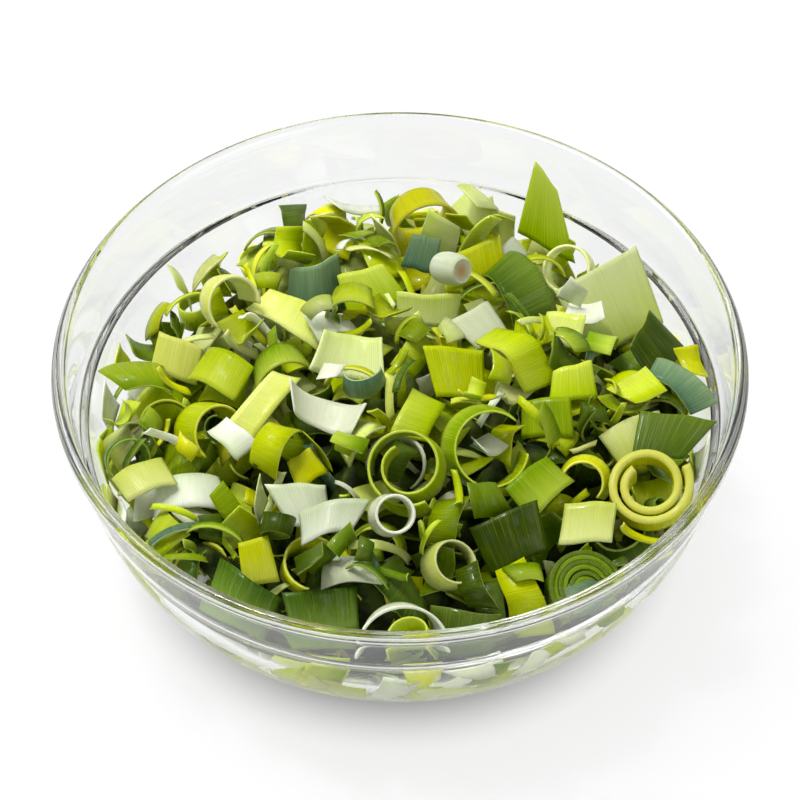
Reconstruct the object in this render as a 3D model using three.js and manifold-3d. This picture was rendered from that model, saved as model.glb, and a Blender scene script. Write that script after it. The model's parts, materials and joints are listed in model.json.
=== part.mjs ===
// A clear glass salad bowl heaped with chopped leek: rings, curled bands, folded leaves and flat cuts.
// Millimetres, +Z up. The origin is the centre of the bowl's foot, on the table.
// The heap is laid by a rule: loose cuts drop one by one onto a height map of what lies there already.

import * as THREE from 'three';
import { mergeVertices } from 'three/addons/utils/BufferGeometryUtils.js';
import Module from 'manifold-3d';

// Bowl
const RIM_RADIUS = 115;
const BOWL_HEIGHT = 84;
const COLLAR_HEIGHT = 25; // the upright band under the rim, which ends in a ledge inside
const WALL = 4.2;
const FOOT_RADIUS = 58;
const FOOT_RING = 11; // width of the flat ring that the bowl stands on
const FOOT_HOLLOW = 1.2; // how far the base is raised inside that ring
const BEAD = 0.9; // how far the rim stands proud of the collar
const BOWL_SIDES = 48;
const CURVE_STEPS = 6;

// Heap
const HEAP_RADIUS = 98;
const HEAP_X = 5; // the heap lies a little to the front and the right
const HEAP_Y = -5;
const HEAP_EDGE = 58; // height of the fill at its edge
const HEAP_CROWN = 80; // height of the fill in the middle
const HEAP_CLEARANCE = 0.8; // between the leek and the glass
const FILL_SEED = 20417;
const TOP_SEED = 5003;
const TOP_SEED_STEP = 7919;
const FILL_COUNT = 900;
const FILL_TRIES = 12; // places tried for each cut, of which the lowest is taken
const LATE_COUNT = 700; // cuts dropped last, into the gaps between the cuts on top
const LATE_RISE = 6; // how far these may stand above the fill
const COVER_SHARE = 0.05; // share of a late cut that may lie over a cut on top
const SETTLE_TRIES = 60; // small turns tried for each cut on top
const SETTLE_TURN = 14; // degrees
const SETTLE_SHIFT = 3;
const SAMPLE_STEP = 1; // between the points that stand for a cut on the height map
const CELL = 1.5; // grid of the height map
const GRID = 144;
const BURIED_SHARE = 0.05; // share of a filled cut's points that may press into the cuts below
const PRESSED_SHARE = 0.35; // the same for a cut on top, where it meets filled cuts

// Solid of the heap
const CORE_DEPTH = 5; // how far the core lies below the fill's top
const CORE_SIDES = 32;
const CORE_RINGS = 8;
const CORE_WALL_GAP = 2.5;
const SHOWN_CELLS = 13; // a filled cut is modelled if it shows on at least this many cells
const FUSED_SINK = 4; // how far a filled cut is let down into the cuts that it is fused to
const LOOSE_GAP = 0.35; // left around a cut on top
const HEADROOM = 40; // above the rim, for the top of the heap

// Thickness and colour of the leek from its green tops to its white shaft
const TONES = {
  dark: { thick: 1.0, colour: 0x3a5208 },
  blue: { thick: 1.0, colour: 0x42634c },
  mid: { thick: 1.2, colour: 0x6c8c04 },
  lime: { thick: 1.5, colour: 0xa6bc04 },
  yellow: { thick: 1.4, colour: 0xdcd606 },
  pale: { thick: 1.6, colour: 0xc9d46c },
  white: { thick: 1.5, colour: 0xe4e7d0 },
};

// The filled cuts: how often each comes, arc width, bend in degrees, cut length, and how far off square
const FILL_SIZES = [0.65, 1];
const FILL_CUTS = [
  { form: 'band', share: 0.1, width: 18, bend: 90, length: 11, flare: 0.3, skew: 0.2 },
  { form: 'band', share: 0.1, width: 24, bend: 120, length: 12, flare: -0.25, skew: -0.15 },
  { form: 'band', share: 0.08, width: 30, bend: 165, length: 13, flare: 0.2, skew: 0.1 },
  { form: 'band', share: 0.1, width: 20, bend: 60, length: 14, flare: 0.4, skew: -0.25 },
  { form: 'band', share: 0.1, width: 16, bend: 30, length: 16, flare: -0.35, skew: 0.3 },
  { form: 'band', share: 0.1, width: 24, bend: 35, length: 13, flare: 0.25, skew: -0.35 },
  { form: 'band', share: 0.07, width: 34, bend: 200, length: 10, flare: 0.15, skew: 0.1 },
  { form: 'band', share: 0.05, width: 42, bend: 270, length: 10, flare: -0.15, skew: 0.1 },
  { form: 'fold', share: 0.07, width: 24, bend: 70, length: 12, flare: 0.3, skew: 0.2 },
  { form: 'fold', share: 0.06, width: 28, bend: 105, length: 14, flare: -0.3, skew: -0.1 },
  { form: 'ring', share: 0.02, width: 40, bend: 360, length: 9, flare: 0.1, skew: 0.15 },
  { form: 'ring', share: 0.03, width: 60, bend: 360, length: 10, flare: 0.1, skew: -0.1 },
  { form: 'band', share: 0.06, width: 20, bend: 60, length: 3.5, flare: 0.2, skew: 0 },
  { form: 'band', share: 0.06, width: 26, bend: 110, length: 3, flare: 0.1, skew: 0 },
];
const FILL_TONES = [
  ['lime', 0.34],
  ['pale', 0.21],
  ['mid', 0.16],
  ['dark', 0.1],
  ['white', 0.09],
  ['yellow', 0.07],
  ['blue', 0.03],
];

// The cuts that lie on top: arc width, bend, cut length, place, turn about Z, X and the leek's own axis,
// and for a few of them how far off square they are and how thick
const TOP_FLARE = 0.3;
const TOP_SKEW = 0.22;
const TOP_COLUMNS = [
  'name', 'tone', 'form', 'width', 'bend', 'length', 'x', 'y', 'yaw', 'pitch', 'roll', 'flare', 'skew',
  'thick',
];
const TOP_CUTS = [
  ['yellow_ring_back', 'yellow', 'ring', 66, 360, 12, 9, 78, 5, -15, 0],
  ['white_strip_back', 'white', 'band', 15, 100, 8.5, 38, 64, 30, 20, 0],
  ['pale_ring_back', 'pale', 'ring', 50, 360, 11, 60, 62, -20, -40, 0],
  ['dark_leaf_back', 'dark', 'band', 20, 30, 11, -58, 59, 35, 20, 55],
  ['folded_leaf_back', 'blue', 'fold', 26, 95, 17, -31, 50, 8, 48, 0, -0.3, 0.1],
  ['lime_square_back', 'lime', 'band', 19, 35, 15, -13, 47, 25, 25, 0],
  ['blue_strip_back', 'blue', 'band', 11, 25, 12, 5, 57, -10, 40, 0],
  ['lime_band_back', 'lime', 'band', 22, 60, 12, 23, 63, 5, 35, 180],
  ['lime_point_back', 'lime', 'band', 14, 20, 26, 52, 86, 2, 68, 0, -0.9, -0.8],
  ['pale_leaf_right', 'pale', 'band', 32, 30, 27, 70, 47, 30, 30, 0],
  ['dark_arch_back', 'dark', 'band', 34, 125, 16, 38, 44, -45, -10, 0],
  ['pale_strip_back', 'pale', 'band', 26, 40, 12, -36, 29, -35, 15, 0],
  ['pale_curl_left', 'pale', 'band', 36, 230, 11, -57, 33, 20, -50, 0],
  ['pale_square_left', 'pale', 'band', 16, 25, 13, -72, 20, 0, 35, 0],
  ['pale_strip_centre', 'pale', 'band', 22, 60, 11, 9, 29, -5, 40, 0],
  ['white_heart', 'white', 'heart', 36, 360, 13, 16, 40, 215, 15, 0, 0, 0],
  ['white_leaf_centre', 'white', 'band', 17, 35, 14, 30, 27, 30, 20, 0],
  ['dark_leaf_right', 'dark', 'band', 21, 25, 17, 85, 24, 40, 30, 0],
  ['mid_petal_right', 'mid', 'band', 22, 110, 10, 65, 25, 75, 20, 50],
  ['pale_flat_right', 'pale', 'band', 14, 25, 11, 53, 24, -15, 25, 0],
  ['lime_strap_right', 'lime', 'fold', 33, 80, 12, 36, 8, -60, 10, 0],
  ['lime_flat_centre', 'lime', 'band', 19, 20, 17, 18, 3, 20, 20, 0],
  ['lime_cup_centre', 'pale', 'band', 24, 80, 15, -14, 6, -20, 15, 180],
  ['lime_arch_left', 'mid', 'band', 28, 170, 13, -38, 8, 15, -15, 0],
  ['lime_band_left', 'lime', 'band', 22, 80, 14, -58, 9, -20, 20, 0],
  ['mid_curl_left', 'mid', 'band', 31, 200, 10, -74, -4, 10, -55, 0],
  ['lime_arch_right', 'lime', 'band', 23, 150, 7.5, 76, 8, 10, -20, 0],
  ['blue_strip_right', 'blue', 'band', 25, 90, 10, 90, 2, -30, 10, 0],
  ['lime_block_right', 'lime', 'band', 15, 50, 12, 55, 3, 10, 20, 0],
  ['pale_strap_left', 'pale', 'band', 28, 45, 10, -45, -10, 80, 10, 0],
  ['yellow_curl_left', 'lime', 'band', 34, 210, 13, -64, -14, 30, -40, 0],
  ['white_cup_left', 'white', 'band', 29, 135, 11, -27, -13, -15, 25, 180, 0.3, 0.2],
  ['lime_strip_centre', 'lime', 'band', 19, 60, 12, 9, -15, 75, 5, 0],
  ['pale_block_right', 'pale', 'band', 21, 70, 14, 76, -17, 15, 20, 0],
  ['dark_kite_right', 'dark', 'band', 20, 25, 17, 92, -19, -40, 25, 0, 0.45, 0.4],
  ['mid_strip_right', 'mid', 'band', 17, 25, 13, 51, -14, 0, 25, 0],
  ['white_strip_left', 'white', 'band', 15, 70, 8.5, -53, -22, -50, 10, 0],
  ['green_ring', 'mid', 'band', 70, 305, 12, 28, -31, 10, -50, -80, 0.1, 0.1],
  ['yellow_roll', 'yellow', 'band', 31, 230, 8.5, 59, -32, -10, -50, 0],
  ['yellow_flat', 'yellow', 'band', 12, 25, 10, -28, -29, 30, 20, 0],
  ['pale_band_left', 'white', 'band', 26, 100, 13, -67, -34, 20, 20, 0],
  ['lime_ring', 'lime', 'roll', 104, 540, 11, 4, -41, -15, -55, 40, 0.1, 0.1],
  ['lime_leaf_edge', 'pale', 'band', 18, 60, 12, -85, -35, 40, 10, 0],
  ['spiral_slice', 'yellow', 'roll', 112, 620, 9, 83, -45, 0, -65, 0, 0, 0, 2.6],
  ['mid_leaf_left', 'mid', 'band', 26, 50, 7, -56, -47, -55, 10, 40],
  ['white_leaf_left', 'white', 'band', 17, 60, 15, -31, -43, 20, 25, 0, 0.4, -0.3],
  ['lime_band_right', 'mid', 'band', 23, 70, 13, 43, -42, 60, 10, 0],
  ['pale_square_right', 'pale', 'band', 17, 30, 14, 58, -54, -15, 30, 0],
  ['white_tube', 'white', 'ring', 38, 360, 14, -4, -61, 15, -45, 0],
  ['dark_leaf_front', 'dark', 'band', 22, 30, 17, 37, -62, 35, 30, 0],
  ['white_flat_front', 'white', 'fold', 21, 50, 12, -21, -60, -25, 20, 0, 0.4, 0.3],
  ['yellow_leaf_front', 'yellow', 'band', 11, 25, 15, -44, -66, 25, 25, 0],
  ['layered_slice', 'dark', 'stack', 40, 190, 7.5, 58, -74, 30, -60, 0, 0, 0],
  ['dark_fold_left', 'dark', 'fold', 27, 65, 13, -54, -77, -15, 30, 0],
  ['dark_block_front', 'dark', 'band', 23, 25, 15, -22, -84, 20, 40, 0],
  ['dark_leaf_edge', 'dark', 'band', 21, 25, 12, 17, -88, -5, 55, 0],
  ['white_arch_front', 'white', 'band', 38, 165, 8, -2, -90, 5, -42, 0],
];

// Bowl profile, as [radius, height] from the middle of the base outwards, over the rim and back inside

const LEDGE = BOWL_HEIGHT - COLLAR_HEIGHT;
const LEDGE_RADIUS = RIM_RADIUS - 7;

function curve(start, firstPull, secondPull, end) {
  const ends = [start, firstPull, secondPull, end].map(([x, y]) => new THREE.Vector2(x, y));
  return new THREE.CubicBezierCurve(...ends).getPoints(CURVE_STEPS).map((p) => [p.x, p.y]);
}

function outsideProfile() {
  const hollowRadius = FOOT_RADIUS - FOOT_RING;
  return [
    [0, FOOT_HOLLOW],
    [hollowRadius, FOOT_HOLLOW],
    [hollowRadius + 1, 0],
    [FOOT_RADIUS, 0],
    ...curve([FOOT_RADIUS + 1.5, 0.6], [86, 6], [105, 30], [LEDGE_RADIUS, LEDGE - 2]),
    [LEDGE_RADIUS + 1.6, LEDGE + 1],
    [LEDGE_RADIUS + 2.3, LEDGE + 4],
    [LEDGE_RADIUS + 2.6, LEDGE + 7],
    [RIM_RADIUS - BEAD - 0.5, BOWL_HEIGHT - 5.5],
    [RIM_RADIUS, BOWL_HEIGHT - 4],
    [RIM_RADIUS, BOWL_HEIGHT - 1.8],
    [RIM_RADIUS - 1, BOWL_HEIGHT - 0.4],
    [RIM_RADIUS - 2.4, BOWL_HEIGHT],
  ];
}

// Runs outwards, so that the height inside the bowl can be read from it by radius
function insideProfile() {
  const lowWall = curve([54, 5.4], [83, 10.5], [101, 32], [LEDGE_RADIUS - WALL, LEDGE - 1.5]);
  return [
    [0, 5.2],
    ...lowWall,
    [LEDGE_RADIUS - WALL + 0.5, LEDGE - 0.2],
    [LEDGE_RADIUS - 1.4, LEDGE + 0.8],
    [LEDGE_RADIUS - 0.8, LEDGE + 2],
    [RIM_RADIUS - WALL - BEAD - 0.3, BOWL_HEIGHT - 4],
    [RIM_RADIUS - WALL, BOWL_HEIGHT - 0.8],
  ];
}

function lathe(profile, sides) {
  const points = profile.map(([radius, height]) => new THREE.Vector2(radius, height));
  return new THREE.LatheGeometry(points, sides).rotateX(Math.PI / 2);
}

function bowlGeometry() {
  return lathe([...outsideProfile(), ...insideProfile().reverse()], BOWL_SIDES);
}

// Draws from a seed, so that every build lays the same heap
function drawsFrom(seed) {
  const modulus = 2147483647;
  let state = seed;
  return (low, high) => {
    state = (state * 48271) % modulus;
    return low + ((high - low) * state) / modulus;
  };
}

// Section of a cut, across the leek: a line that turns through the bend as it runs its width

const FOLD_SHARE = 0.125; // half the share of the width in which a folded leaf turns
const ROLL_TAPER = 0.62; // how much tighter a rolled slice gets from its outer to its inner end
const SECTION_STEPS = 48;

function headingAt(cut, share) {
  const bend = THREE.MathUtils.degToRad(cut.bend);
  if (cut.form === 'fold') return (bend / 2) * THREE.MathUtils.clamp(share / FOLD_SHARE, -1, 1);
  return bend * share;
}

function sectionOf(cut, steps) {
  const taper = cut.form === 'roll' ? ROLL_TAPER : 0;
  const line = [];
  let x = 0;
  let z = 0;
  for (let i = 0; i <= SECTION_STEPS; i++) {
    const share = i / SECTION_STEPS - 0.5;
    line.push({ x, z, heading: headingAt(cut, share) });
    const next = share + 0.5 / SECTION_STEPS;
    const stride = (cut.width / SECTION_STEPS) * (1 - taper * next);
    x += stride * Math.cos(headingAt(cut, next));
    z -= stride * Math.sin(headingAt(cut, next));
  }
  const middleX = line.reduce((sum, p) => sum + p.x, 0) / line.length;
  const middleZ = line.reduce((sum, p) => sum + p.z, 0) / line.length;
  const picked = [];
  for (let i = 0; i <= steps; i++) {
    const p = line[Math.round((i * SECTION_STEPS) / steps)];
    picked.push({ x: p.x - middleX, z: p.z - middleZ, heading: p.heading });
  }
  return picked;
}

// A cut is seldom square: one end is wider than the other, and the knife runs aslant
function offSquare(cut, point) {
  const widen = 1 + (cut.flare * point.y) / cut.length;
  return point.set(point.x * widen, point.y + cut.skew * point.x, point.z * widen);
}

// Points spread over a cut, close enough to meet every cell of the height map that it covers
function samplesOf(cut) {
  const across = Math.min(SECTION_STEPS, Math.ceil(cut.width / SAMPLE_STEP));
  const along = Math.ceil(cut.length / SAMPLE_STEP);
  const samples = [];
  for (const { x, z } of sectionOf(cut, across)) {
    for (let j = 0; j <= along; j++) {
      samples.push(offSquare(cut, new THREE.Vector3(x, (j / along - 0.5) * cut.length, z)));
    }
  }
  return samples;
}

// The heap

const WALL_MARGIN = 2.2; // cuts keep this far from the glass, measured level
const FIRM_GAP = 0.9; // between two cuts on top
const FURTHEST = LEDGE_RADIUS - 2.5;

const fillTop = (radius) => HEAP_EDGE + (HEAP_CROWN - HEAP_EDGE) * (1 - (radius / HEAP_RADIUS) ** 2);

function insideHeight(radius) {
  const profile = insideProfile();
  const after = profile.findIndex(([r]) => r > radius);
  const [r0, z0] = profile[after - 1];
  const [r1, z1] = profile[after];
  return z0 + ((z1 - z0) * (radius - r0)) / (r1 - r0);
}

class HeightMap {
  constructor() {
    this.cuts = [];
    this.heights = new Float64Array(GRID * GRID);
    this.owners = new Int16Array(GRID * GRID).fill(-1);
    for (let i = 0; i < this.heights.length; i++) {
      const x = ((i % GRID) + 0.5 - GRID / 2) * CELL;
      const y = (Math.floor(i / GRID) + 0.5 - GRID / 2) * CELL;
      const radius = Math.min(Math.hypot(x, y) + WALL_MARGIN, RIM_RADIUS - WALL - 1);
      this.heights[i] = insideHeight(radius) + HEAP_CLEARANCE;
    }
    this.firmHeights = this.heights.slice(); // the glass and the cuts on top, which don't give way
  }

  cellAt(x, y) {
    return Math.floor(y / CELL + GRID / 2) * GRID + Math.floor(x / CELL + GRID / 2);
  }

  isOnTop(cell) {
    return this.owners[cell] >= 0 && Boolean(this.cuts[this.owners[cell]].name);
  }

  // Height at which a turned cut comes to rest when it drops at x, y. Filled cuts give way to some of it.
  rest(points, half, x, y, buriedShare) {
    const loose = [];
    let firm = -Infinity;
    for (const p of points) {
      const cell = this.cellAt(x + p.x, y + p.y);
      firm = Math.max(firm, this.firmHeights[cell] - p.z + half + FIRM_GAP);
      if (this.heights[cell] > this.firmHeights[cell]) loose.push(this.heights[cell] - p.z + half);
    }
    loose.sort((a, b) => a - b);
    const pressed = loose.length ? loose[Math.floor((1 - buriedShare) * (loose.length - 1))] : firm;
    return Math.max(firm, pressed);
  }

  coveredShare(points, x, y) {
    const over = points.filter((p) => this.isOnTop(this.cellAt(x + p.x, y + p.y)));
    return over.length / points.length;
  }

  lay(cut) {
    const index = this.cuts.push(cut) - 1;
    for (const p of cut.points) {
      const cell = this.cellAt(cut.place.x + p.x, cut.place.y + p.y);
      const top = cut.place.z + p.z + cut.half;
      if (cut.name) this.firmHeights[cell] = Math.max(this.firmHeights[cell], top);
      if (top > this.heights[cell]) {
        this.heights[cell] = top;
        this.owners[cell] = index;
      }
    }
  }

  meanAround(x, y, cells) {
    let sum = 0;
    for (let i = -cells; i <= cells; i++) {
      for (let j = -cells; j <= cells; j++) {
        sum += this.heights[this.cellAt(x + i * CELL, y + j * CELL)];
      }
    }
    return sum / (2 * cells + 1) ** 2;
  }

  cellsShown() {
    const shown = new Array(this.cuts.length).fill(0);
    for (const owner of this.owners) if (owner >= 0) shown[owner] += 1;
    return shown;
  }
}

// Turn about the leek's own axis, then about X, then about Z
function turnOf(yaw, pitch, roll) {
  const [z, x, y] = [yaw, pitch, roll].map(THREE.MathUtils.degToRad);
  return new THREE.Quaternion().setFromEuler(new THREE.Euler(x, y, z, 'ZXY'));
}

// Moves a place inwards until the whole cut is inside the glass
function keptInside(points, x, y) {
  let radius = Math.hypot(x, y);
  for (let pass = 0; pass < 3 && radius > 0; pass++) {
    const reach = Math.max(...points.map((p) => Math.hypot(x + p.x, y + p.y)));
    const inwards = Math.max(0, reach - FURTHEST);
    x *= Math.max(0, radius - inwards) / radius;
    y *= Math.max(0, radius - inwards) / radius;
    radius = Math.hypot(x, y);
  }
  return { x, y };
}

function pickByShare(rows, shareOf, value) {
  let left = value;
  for (const row of rows) {
    left -= shareOf(row);
    if (left <= 0) return row;
  }
  return rows[rows.length - 1];
}

function drawCut(draw) {
  const cut = pickByShare(FILL_CUTS, (row) => row.share, draw(0, 1));
  const [tone] = pickByShare(FILL_TONES, (row) => row[1], draw(0, 1));
  const size = draw(...FILL_SIZES);
  return { ...cut, tone, width: cut.width * size, length: cut.length * size };
}

// A curled cut often lands on its cut end, and any other lies arched, cupped or on its side
function drawTurn(draw, cut) {
  const yaw = draw(0, 360);
  const way = draw(0, 1);
  if (cut.bend > 180 && way < 0.6) return turnOf(yaw, draw(-90, -45), draw(0, 360));
  if (way < 0.55) return turnOf(yaw, draw(-30, 30), draw(-35, 35));
  if (way < 0.8) return turnOf(yaw, draw(-30, 30), draw(145, 215));
  return turnOf(yaw, draw(-30, 30), draw(60, 120));
}

// Tips a cut over to lie along the slope of the heap
function slopeAt(x, y) {
  const slope = (2 * (HEAP_CROWN - HEAP_EDGE) * Math.hypot(x, y)) / HEAP_RADIUS ** 2;
  const axis = new THREE.Vector3(-y, x, 0).normalize();
  return new THREE.Quaternion().setFromAxisAngle(axis, Math.atan(slope));
}

const thickOf = (cut) => cut.thick ?? TONES[cut.tone].thick;

function tryPlace(map, cut, samples, turn, x, y, buriedShare) {
  const points = samples.map((p) => p.clone().applyQuaternion(turn));
  const inside = keptInside(points, x, y);
  const half = thickOf(cut) / 2;
  const z = map.rest(points, half, inside.x, inside.y, buriedShare);
  return { ...cut, points, turn, half, place: new THREE.Vector3(inside.x, inside.y, z) };
}

function layFill(map, draw, count, rise) {
  for (let n = 0; n < count; n++) {
    const cut = drawCut(draw);
    const samples = samplesOf(cut);
    let best = null;
    let lowest = rise;
    for (let attempt = 0; attempt < FILL_TRIES; attempt++) {
      const radius = HEAP_RADIUS * Math.sqrt(draw(0, 1));
      const angle = draw(0, 2 * Math.PI);
      const [x, y] = [radius * Math.cos(angle), radius * Math.sin(angle)];
      const turn = slopeAt(x, y).multiply(drawTurn(draw, cut));
      const tried = tryPlace(map, cut, samples, turn, HEAP_X + x, HEAP_Y + y, BURIED_SHARE);
      const { place } = tried;
      const over = place.z - fillTop(Math.hypot(place.x - HEAP_X, place.y - HEAP_Y));
      if (map.coveredShare(tried.points, place.x, place.y) > COVER_SHARE) continue;
      if (over < lowest) [best, lowest] = [tried, over];
    }
    if (best) map.lay(best);
  }
}

// Each cut on top has draws of its own, so that a change to one leaves the draws of the others
function layTop(map) {
  TOP_CUTS.forEach((row, rank) => {
    const draw = drawsFrom(TOP_SEED + rank * TOP_SEED_STEP);
    const around = (value, spread) => value + draw(-spread, spread);
    const cut = { flare: around(0, TOP_FLARE), skew: around(0, TOP_SKEW) };
    row.forEach((value, i) => Object.assign(cut, { [TOP_COLUMNS[i]]: value }));
    const samples = samplesOf(cut);
    let best = null;
    for (let attempt = 0; attempt < SETTLE_TRIES; attempt++) {
      const [yaw, pitch, roll] = [cut.yaw, cut.pitch, cut.roll].map((a) => around(a, SETTLE_TURN));
      const [x, y] = [around(cut.x, SETTLE_SHIFT), around(cut.y, SETTLE_SHIFT)];
      const tried = tryPlace(map, cut, samples, turnOf(yaw, pitch, roll), x, y, PRESSED_SHARE);
      if (!best || tried.place.z < best.place.z) best = tried;
    }
    map.lay(best);
  });
}

// Filled cuts that the cuts on top have come down through are pushed out of the heap
function withoutPierced(map, filled, onTop) {
  const low = new Float64Array(GRID * GRID).fill(Infinity);
  const high = new Float64Array(GRID * GRID).fill(-Infinity);
  const eachPoint = (cut, see) => cut.points.forEach((p) => {
    see(map.cellAt(cut.place.x + p.x, cut.place.y + p.y), cut.place.z + p.z);
  });
  for (const cut of onTop) {
    eachPoint(cut, (cell, z) => {
      low[cell] = Math.min(low[cell], z - cut.half);
      high[cell] = Math.max(high[cell], z + cut.half);
    });
  }
  return filled.filter((cut) => {
    let pierced = false;
    eachPoint(cut, (cell, z) => {
      pierced ||= z > low[cell] && z < high[cell];
    });
    return !pierced;
  });
}

function layHeap() {
  const draw = drawsFrom(FILL_SEED);
  const first = new HeightMap();
  layFill(first, draw, FILL_COUNT, 0);
  const filled = first.cuts.slice();
  layTop(first);
  const onTop = first.cuts.slice(filled.length);
  const map = new HeightMap();
  const kept = withoutPierced(map, filled, onTop);
  [...kept, ...onTop].forEach((cut) => map.lay(cut));
  layFill(map, draw, LATE_COUNT, LATE_RISE);
  return map;
}

// Solids of the cuts

const TOP_FACETS = { least: 3, degrees: 24 }; // fewest facets of a cut, and the bend that one takes
const FILL_FACETS = { least: 2, degrees: 72 };
const FOLD_FACETS = 8;
const MOST_FACETS = 26;
const HEART_PROFILE = [[0, -0.5], [0.7, -0.47], [0.95, -0.25], [1, 0.05], [0.9, 0.42], [0.72, 0.5], [0, 0.46]];
const HEART_SIDES = 12;
const STACK_LAYERS = 6;
const STACK_PITCH = 1.7;
const STACK_RECESS = 0.7; // every other layer of a layered slice ends this much short

// Points in the middle of a straight run are left out, because the caps would not use them
function facetsOf(cut, steps) {
  const section = sectionOf(cut, steps);
  const differ = (i, j) => section[i].heading !== section[j].heading;
  return section.filter((p, i) => i === 0 || i === steps || differ(i, i - 1) || differ(i, i + 1));
}

function outlineOf(cut, steps, thick, grow) {
  const section = facetsOf(cut, steps);
  const last = section.length - 1;
  const side = (sign) => section.map(({ x, z, heading }, i) => {
    const off = sign * (thick / 2 + grow);
    const past = cut.form === 'ring' ? 0 : grow * (i === 0 ? -1 : i === last ? 1 : 0);
    return new THREE.Vector2(
      x + off * Math.sin(heading) + past * Math.cos(heading),
      z + off * Math.cos(heading) - past * Math.sin(heading),
    );
  });
  const [outer, inner] = [side(1), side(-1)];
  if (cut.form !== 'ring') return new THREE.Shape([...outer, ...inner.reverse()]);
  const shape = new THREE.Shape(outer.slice(1));
  shape.holes.push(new THREE.Path(inner.slice(1).reverse()));
  return shape;
}

function extrudeAlongLeek(shape, length) {
  const geometry = new THREE.ExtrudeGeometry(shape, { depth: length, bevelEnabled: false });
  return geometry.translate(0, 0, -length / 2).rotateX(Math.PI / 2);
}

function stepsOf(cut, facets) {
  if (cut.form === 'fold') return FOLD_FACETS;
  return Math.min(MOST_FACETS, Math.max(facets.least, Math.ceil(cut.bend / facets.degrees)));
}

const wasm = await Module();
wasm.setup();

function solidOf(geometry) {
  const bare = geometry.clone();
  bare.deleteAttribute('normal');
  bare.deleteAttribute('uv');
  const merged = mergeVertices(bare, 1e-4);
  return new wasm.Manifold(
    new wasm.Mesh({
      numProp: 3,
      vertProperties: merged.attributes.position.array,
      triVerts: new Uint32Array(merged.index.array),
    }),
  );
}

function geometryOf(solid) {
  const mesh = solid.getMesh();
  return new THREE.BufferGeometry()
    .setAttribute('position', new THREE.BufferAttribute(mesh.vertProperties, 3))
    .setIndex(new THREE.BufferAttribute(mesh.triVerts, 1));
}

const joined = (solids) => solids.reduce((sum, solid) => sum.add(solid));

// A layered slice keeps its sheaths together, as ridges on its cut faces
function stackGeometry(cut, steps, grow) {
  const bend = THREE.MathUtils.degToRad(cut.bend);
  const layers = [];
  for (let i = 0; i < STACK_LAYERS; i++) {
    const layer = { ...cut, form: 'band', width: cut.width - i * STACK_PITCH * bend };
    const length = cut.length - (i % 2) * STACK_RECESS + 2 * grow;
    const sheath = extrudeAlongLeek(outlineOf(layer, steps, STACK_PITCH + 0.2, grow), length);
    layers.push(solidOf(sheath.translate(0, 0, stackDrop(cut, layer))));
  }
  return geometryOf(joined(layers));
}

// Brings the middle of a layer's circle onto that of the outermost one
function stackDrop(cut, layer) {
  const crown = (c) => Math.max(...sectionOf(c, SECTION_STEPS).map((p) => p.z));
  const bend = THREE.MathUtils.degToRad(cut.bend);
  return crown(cut) - cut.width / bend - (crown(layer) - layer.width / bend);
}

// The rounded heart of a leek, with its cut tip
function heartGeometry(cut, grow) {
  const radius = cut.width / (2 * Math.PI);
  const points = HEART_PROFILE.map(([across, along]) => {
    return new THREE.Vector2(across * radius + (across > 0 ? grow : 0), along * (cut.length + 2 * grow));
  });
  return new THREE.LatheGeometry(points, HEART_SIDES);
}

function squareGeometry(cut, facets, grow) {
  const steps = stepsOf(cut, facets);
  if (cut.form === 'heart') return heartGeometry(cut, grow);
  if (cut.form === 'stack') return stackGeometry(cut, steps, grow);
  return extrudeAlongLeek(outlineOf(cut, steps, thickOf(cut), grow), cut.length + 2 * grow);
}

function cutGeometry(cut, facets, grow) {
  const geometry = squareGeometry(cut, facets, grow);
  const position = geometry.attributes.position;
  const point = new THREE.Vector3();
  for (let i = 0; i < position.count; i++) {
    offSquare(cut, point.fromBufferAttribute(position, i));
    position.setXYZ(i, point.x, point.y, point.z);
  }
  geometry.computeVertexNormals();
  return geometry;
}

function placedSolid(cut, facets, grow) {
  const placed = new THREE.Matrix4().compose(cut.place, cut.turn, new THREE.Vector3(1, 1, 1));
  return solidOf(cutGeometry(cut, facets, grow).applyMatrix4(placed));
}

const sunkSolid = (cut) => placedSolid(cut, FILL_FACETS, 0).translate([0, 0, -FUSED_SINK]);

// The packed middle of the heap, which the cuts stand out of
function coreSolid(cuts) {
  const surface = new HeightMap();
  cuts.forEach((cut) => surface.lay(cut));
  const wall = insideProfile().filter(([, height]) => height < LEDGE);
  const inset = CORE_WALL_GAP + Math.hypot(HEAP_X, HEAP_Y);
  const side = wall.map(([radius, height]) => [Math.max(0, radius - inset), height + CORE_WALL_GAP]);
  const edge = side[side.length - 1][0];
  const top = [];
  for (let ring = CORE_RINGS - 1; ring >= 0; ring--) top.push([(edge * ring) / CORE_RINGS, BOWL_HEIGHT]);
  const geometry = lathe([...side, ...top], CORE_SIDES).translate(HEAP_X, HEAP_Y, 0);
  geometry.deleteAttribute('normal');
  geometry.deleteAttribute('uv');
  const merged = mergeVertices(geometry, 1e-4);
  const position = merged.attributes.position;
  for (let i = 0; i < position.count; i++) {
    if (position.getZ(i) < BOWL_HEIGHT - 1) continue;
    const height = surface.meanAround(position.getX(i), position.getY(i), 3) - CORE_DEPTH;
    position.setZ(i, height);
  }
  return solidOf(merged);
}

function cavitySolid() {
  const inset = 2 * LOOSE_GAP;
  const wall = insideProfile().map(([radius, height]) => [Math.max(0, radius - inset), height + inset]);
  const [mouth] = wall[wall.length - 1];
  const ceiling = BOWL_HEIGHT + HEADROOM;
  return solidOf(lathe([...wall, [mouth, ceiling], [0, ceiling]], BOWL_SIDES));
}

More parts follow.
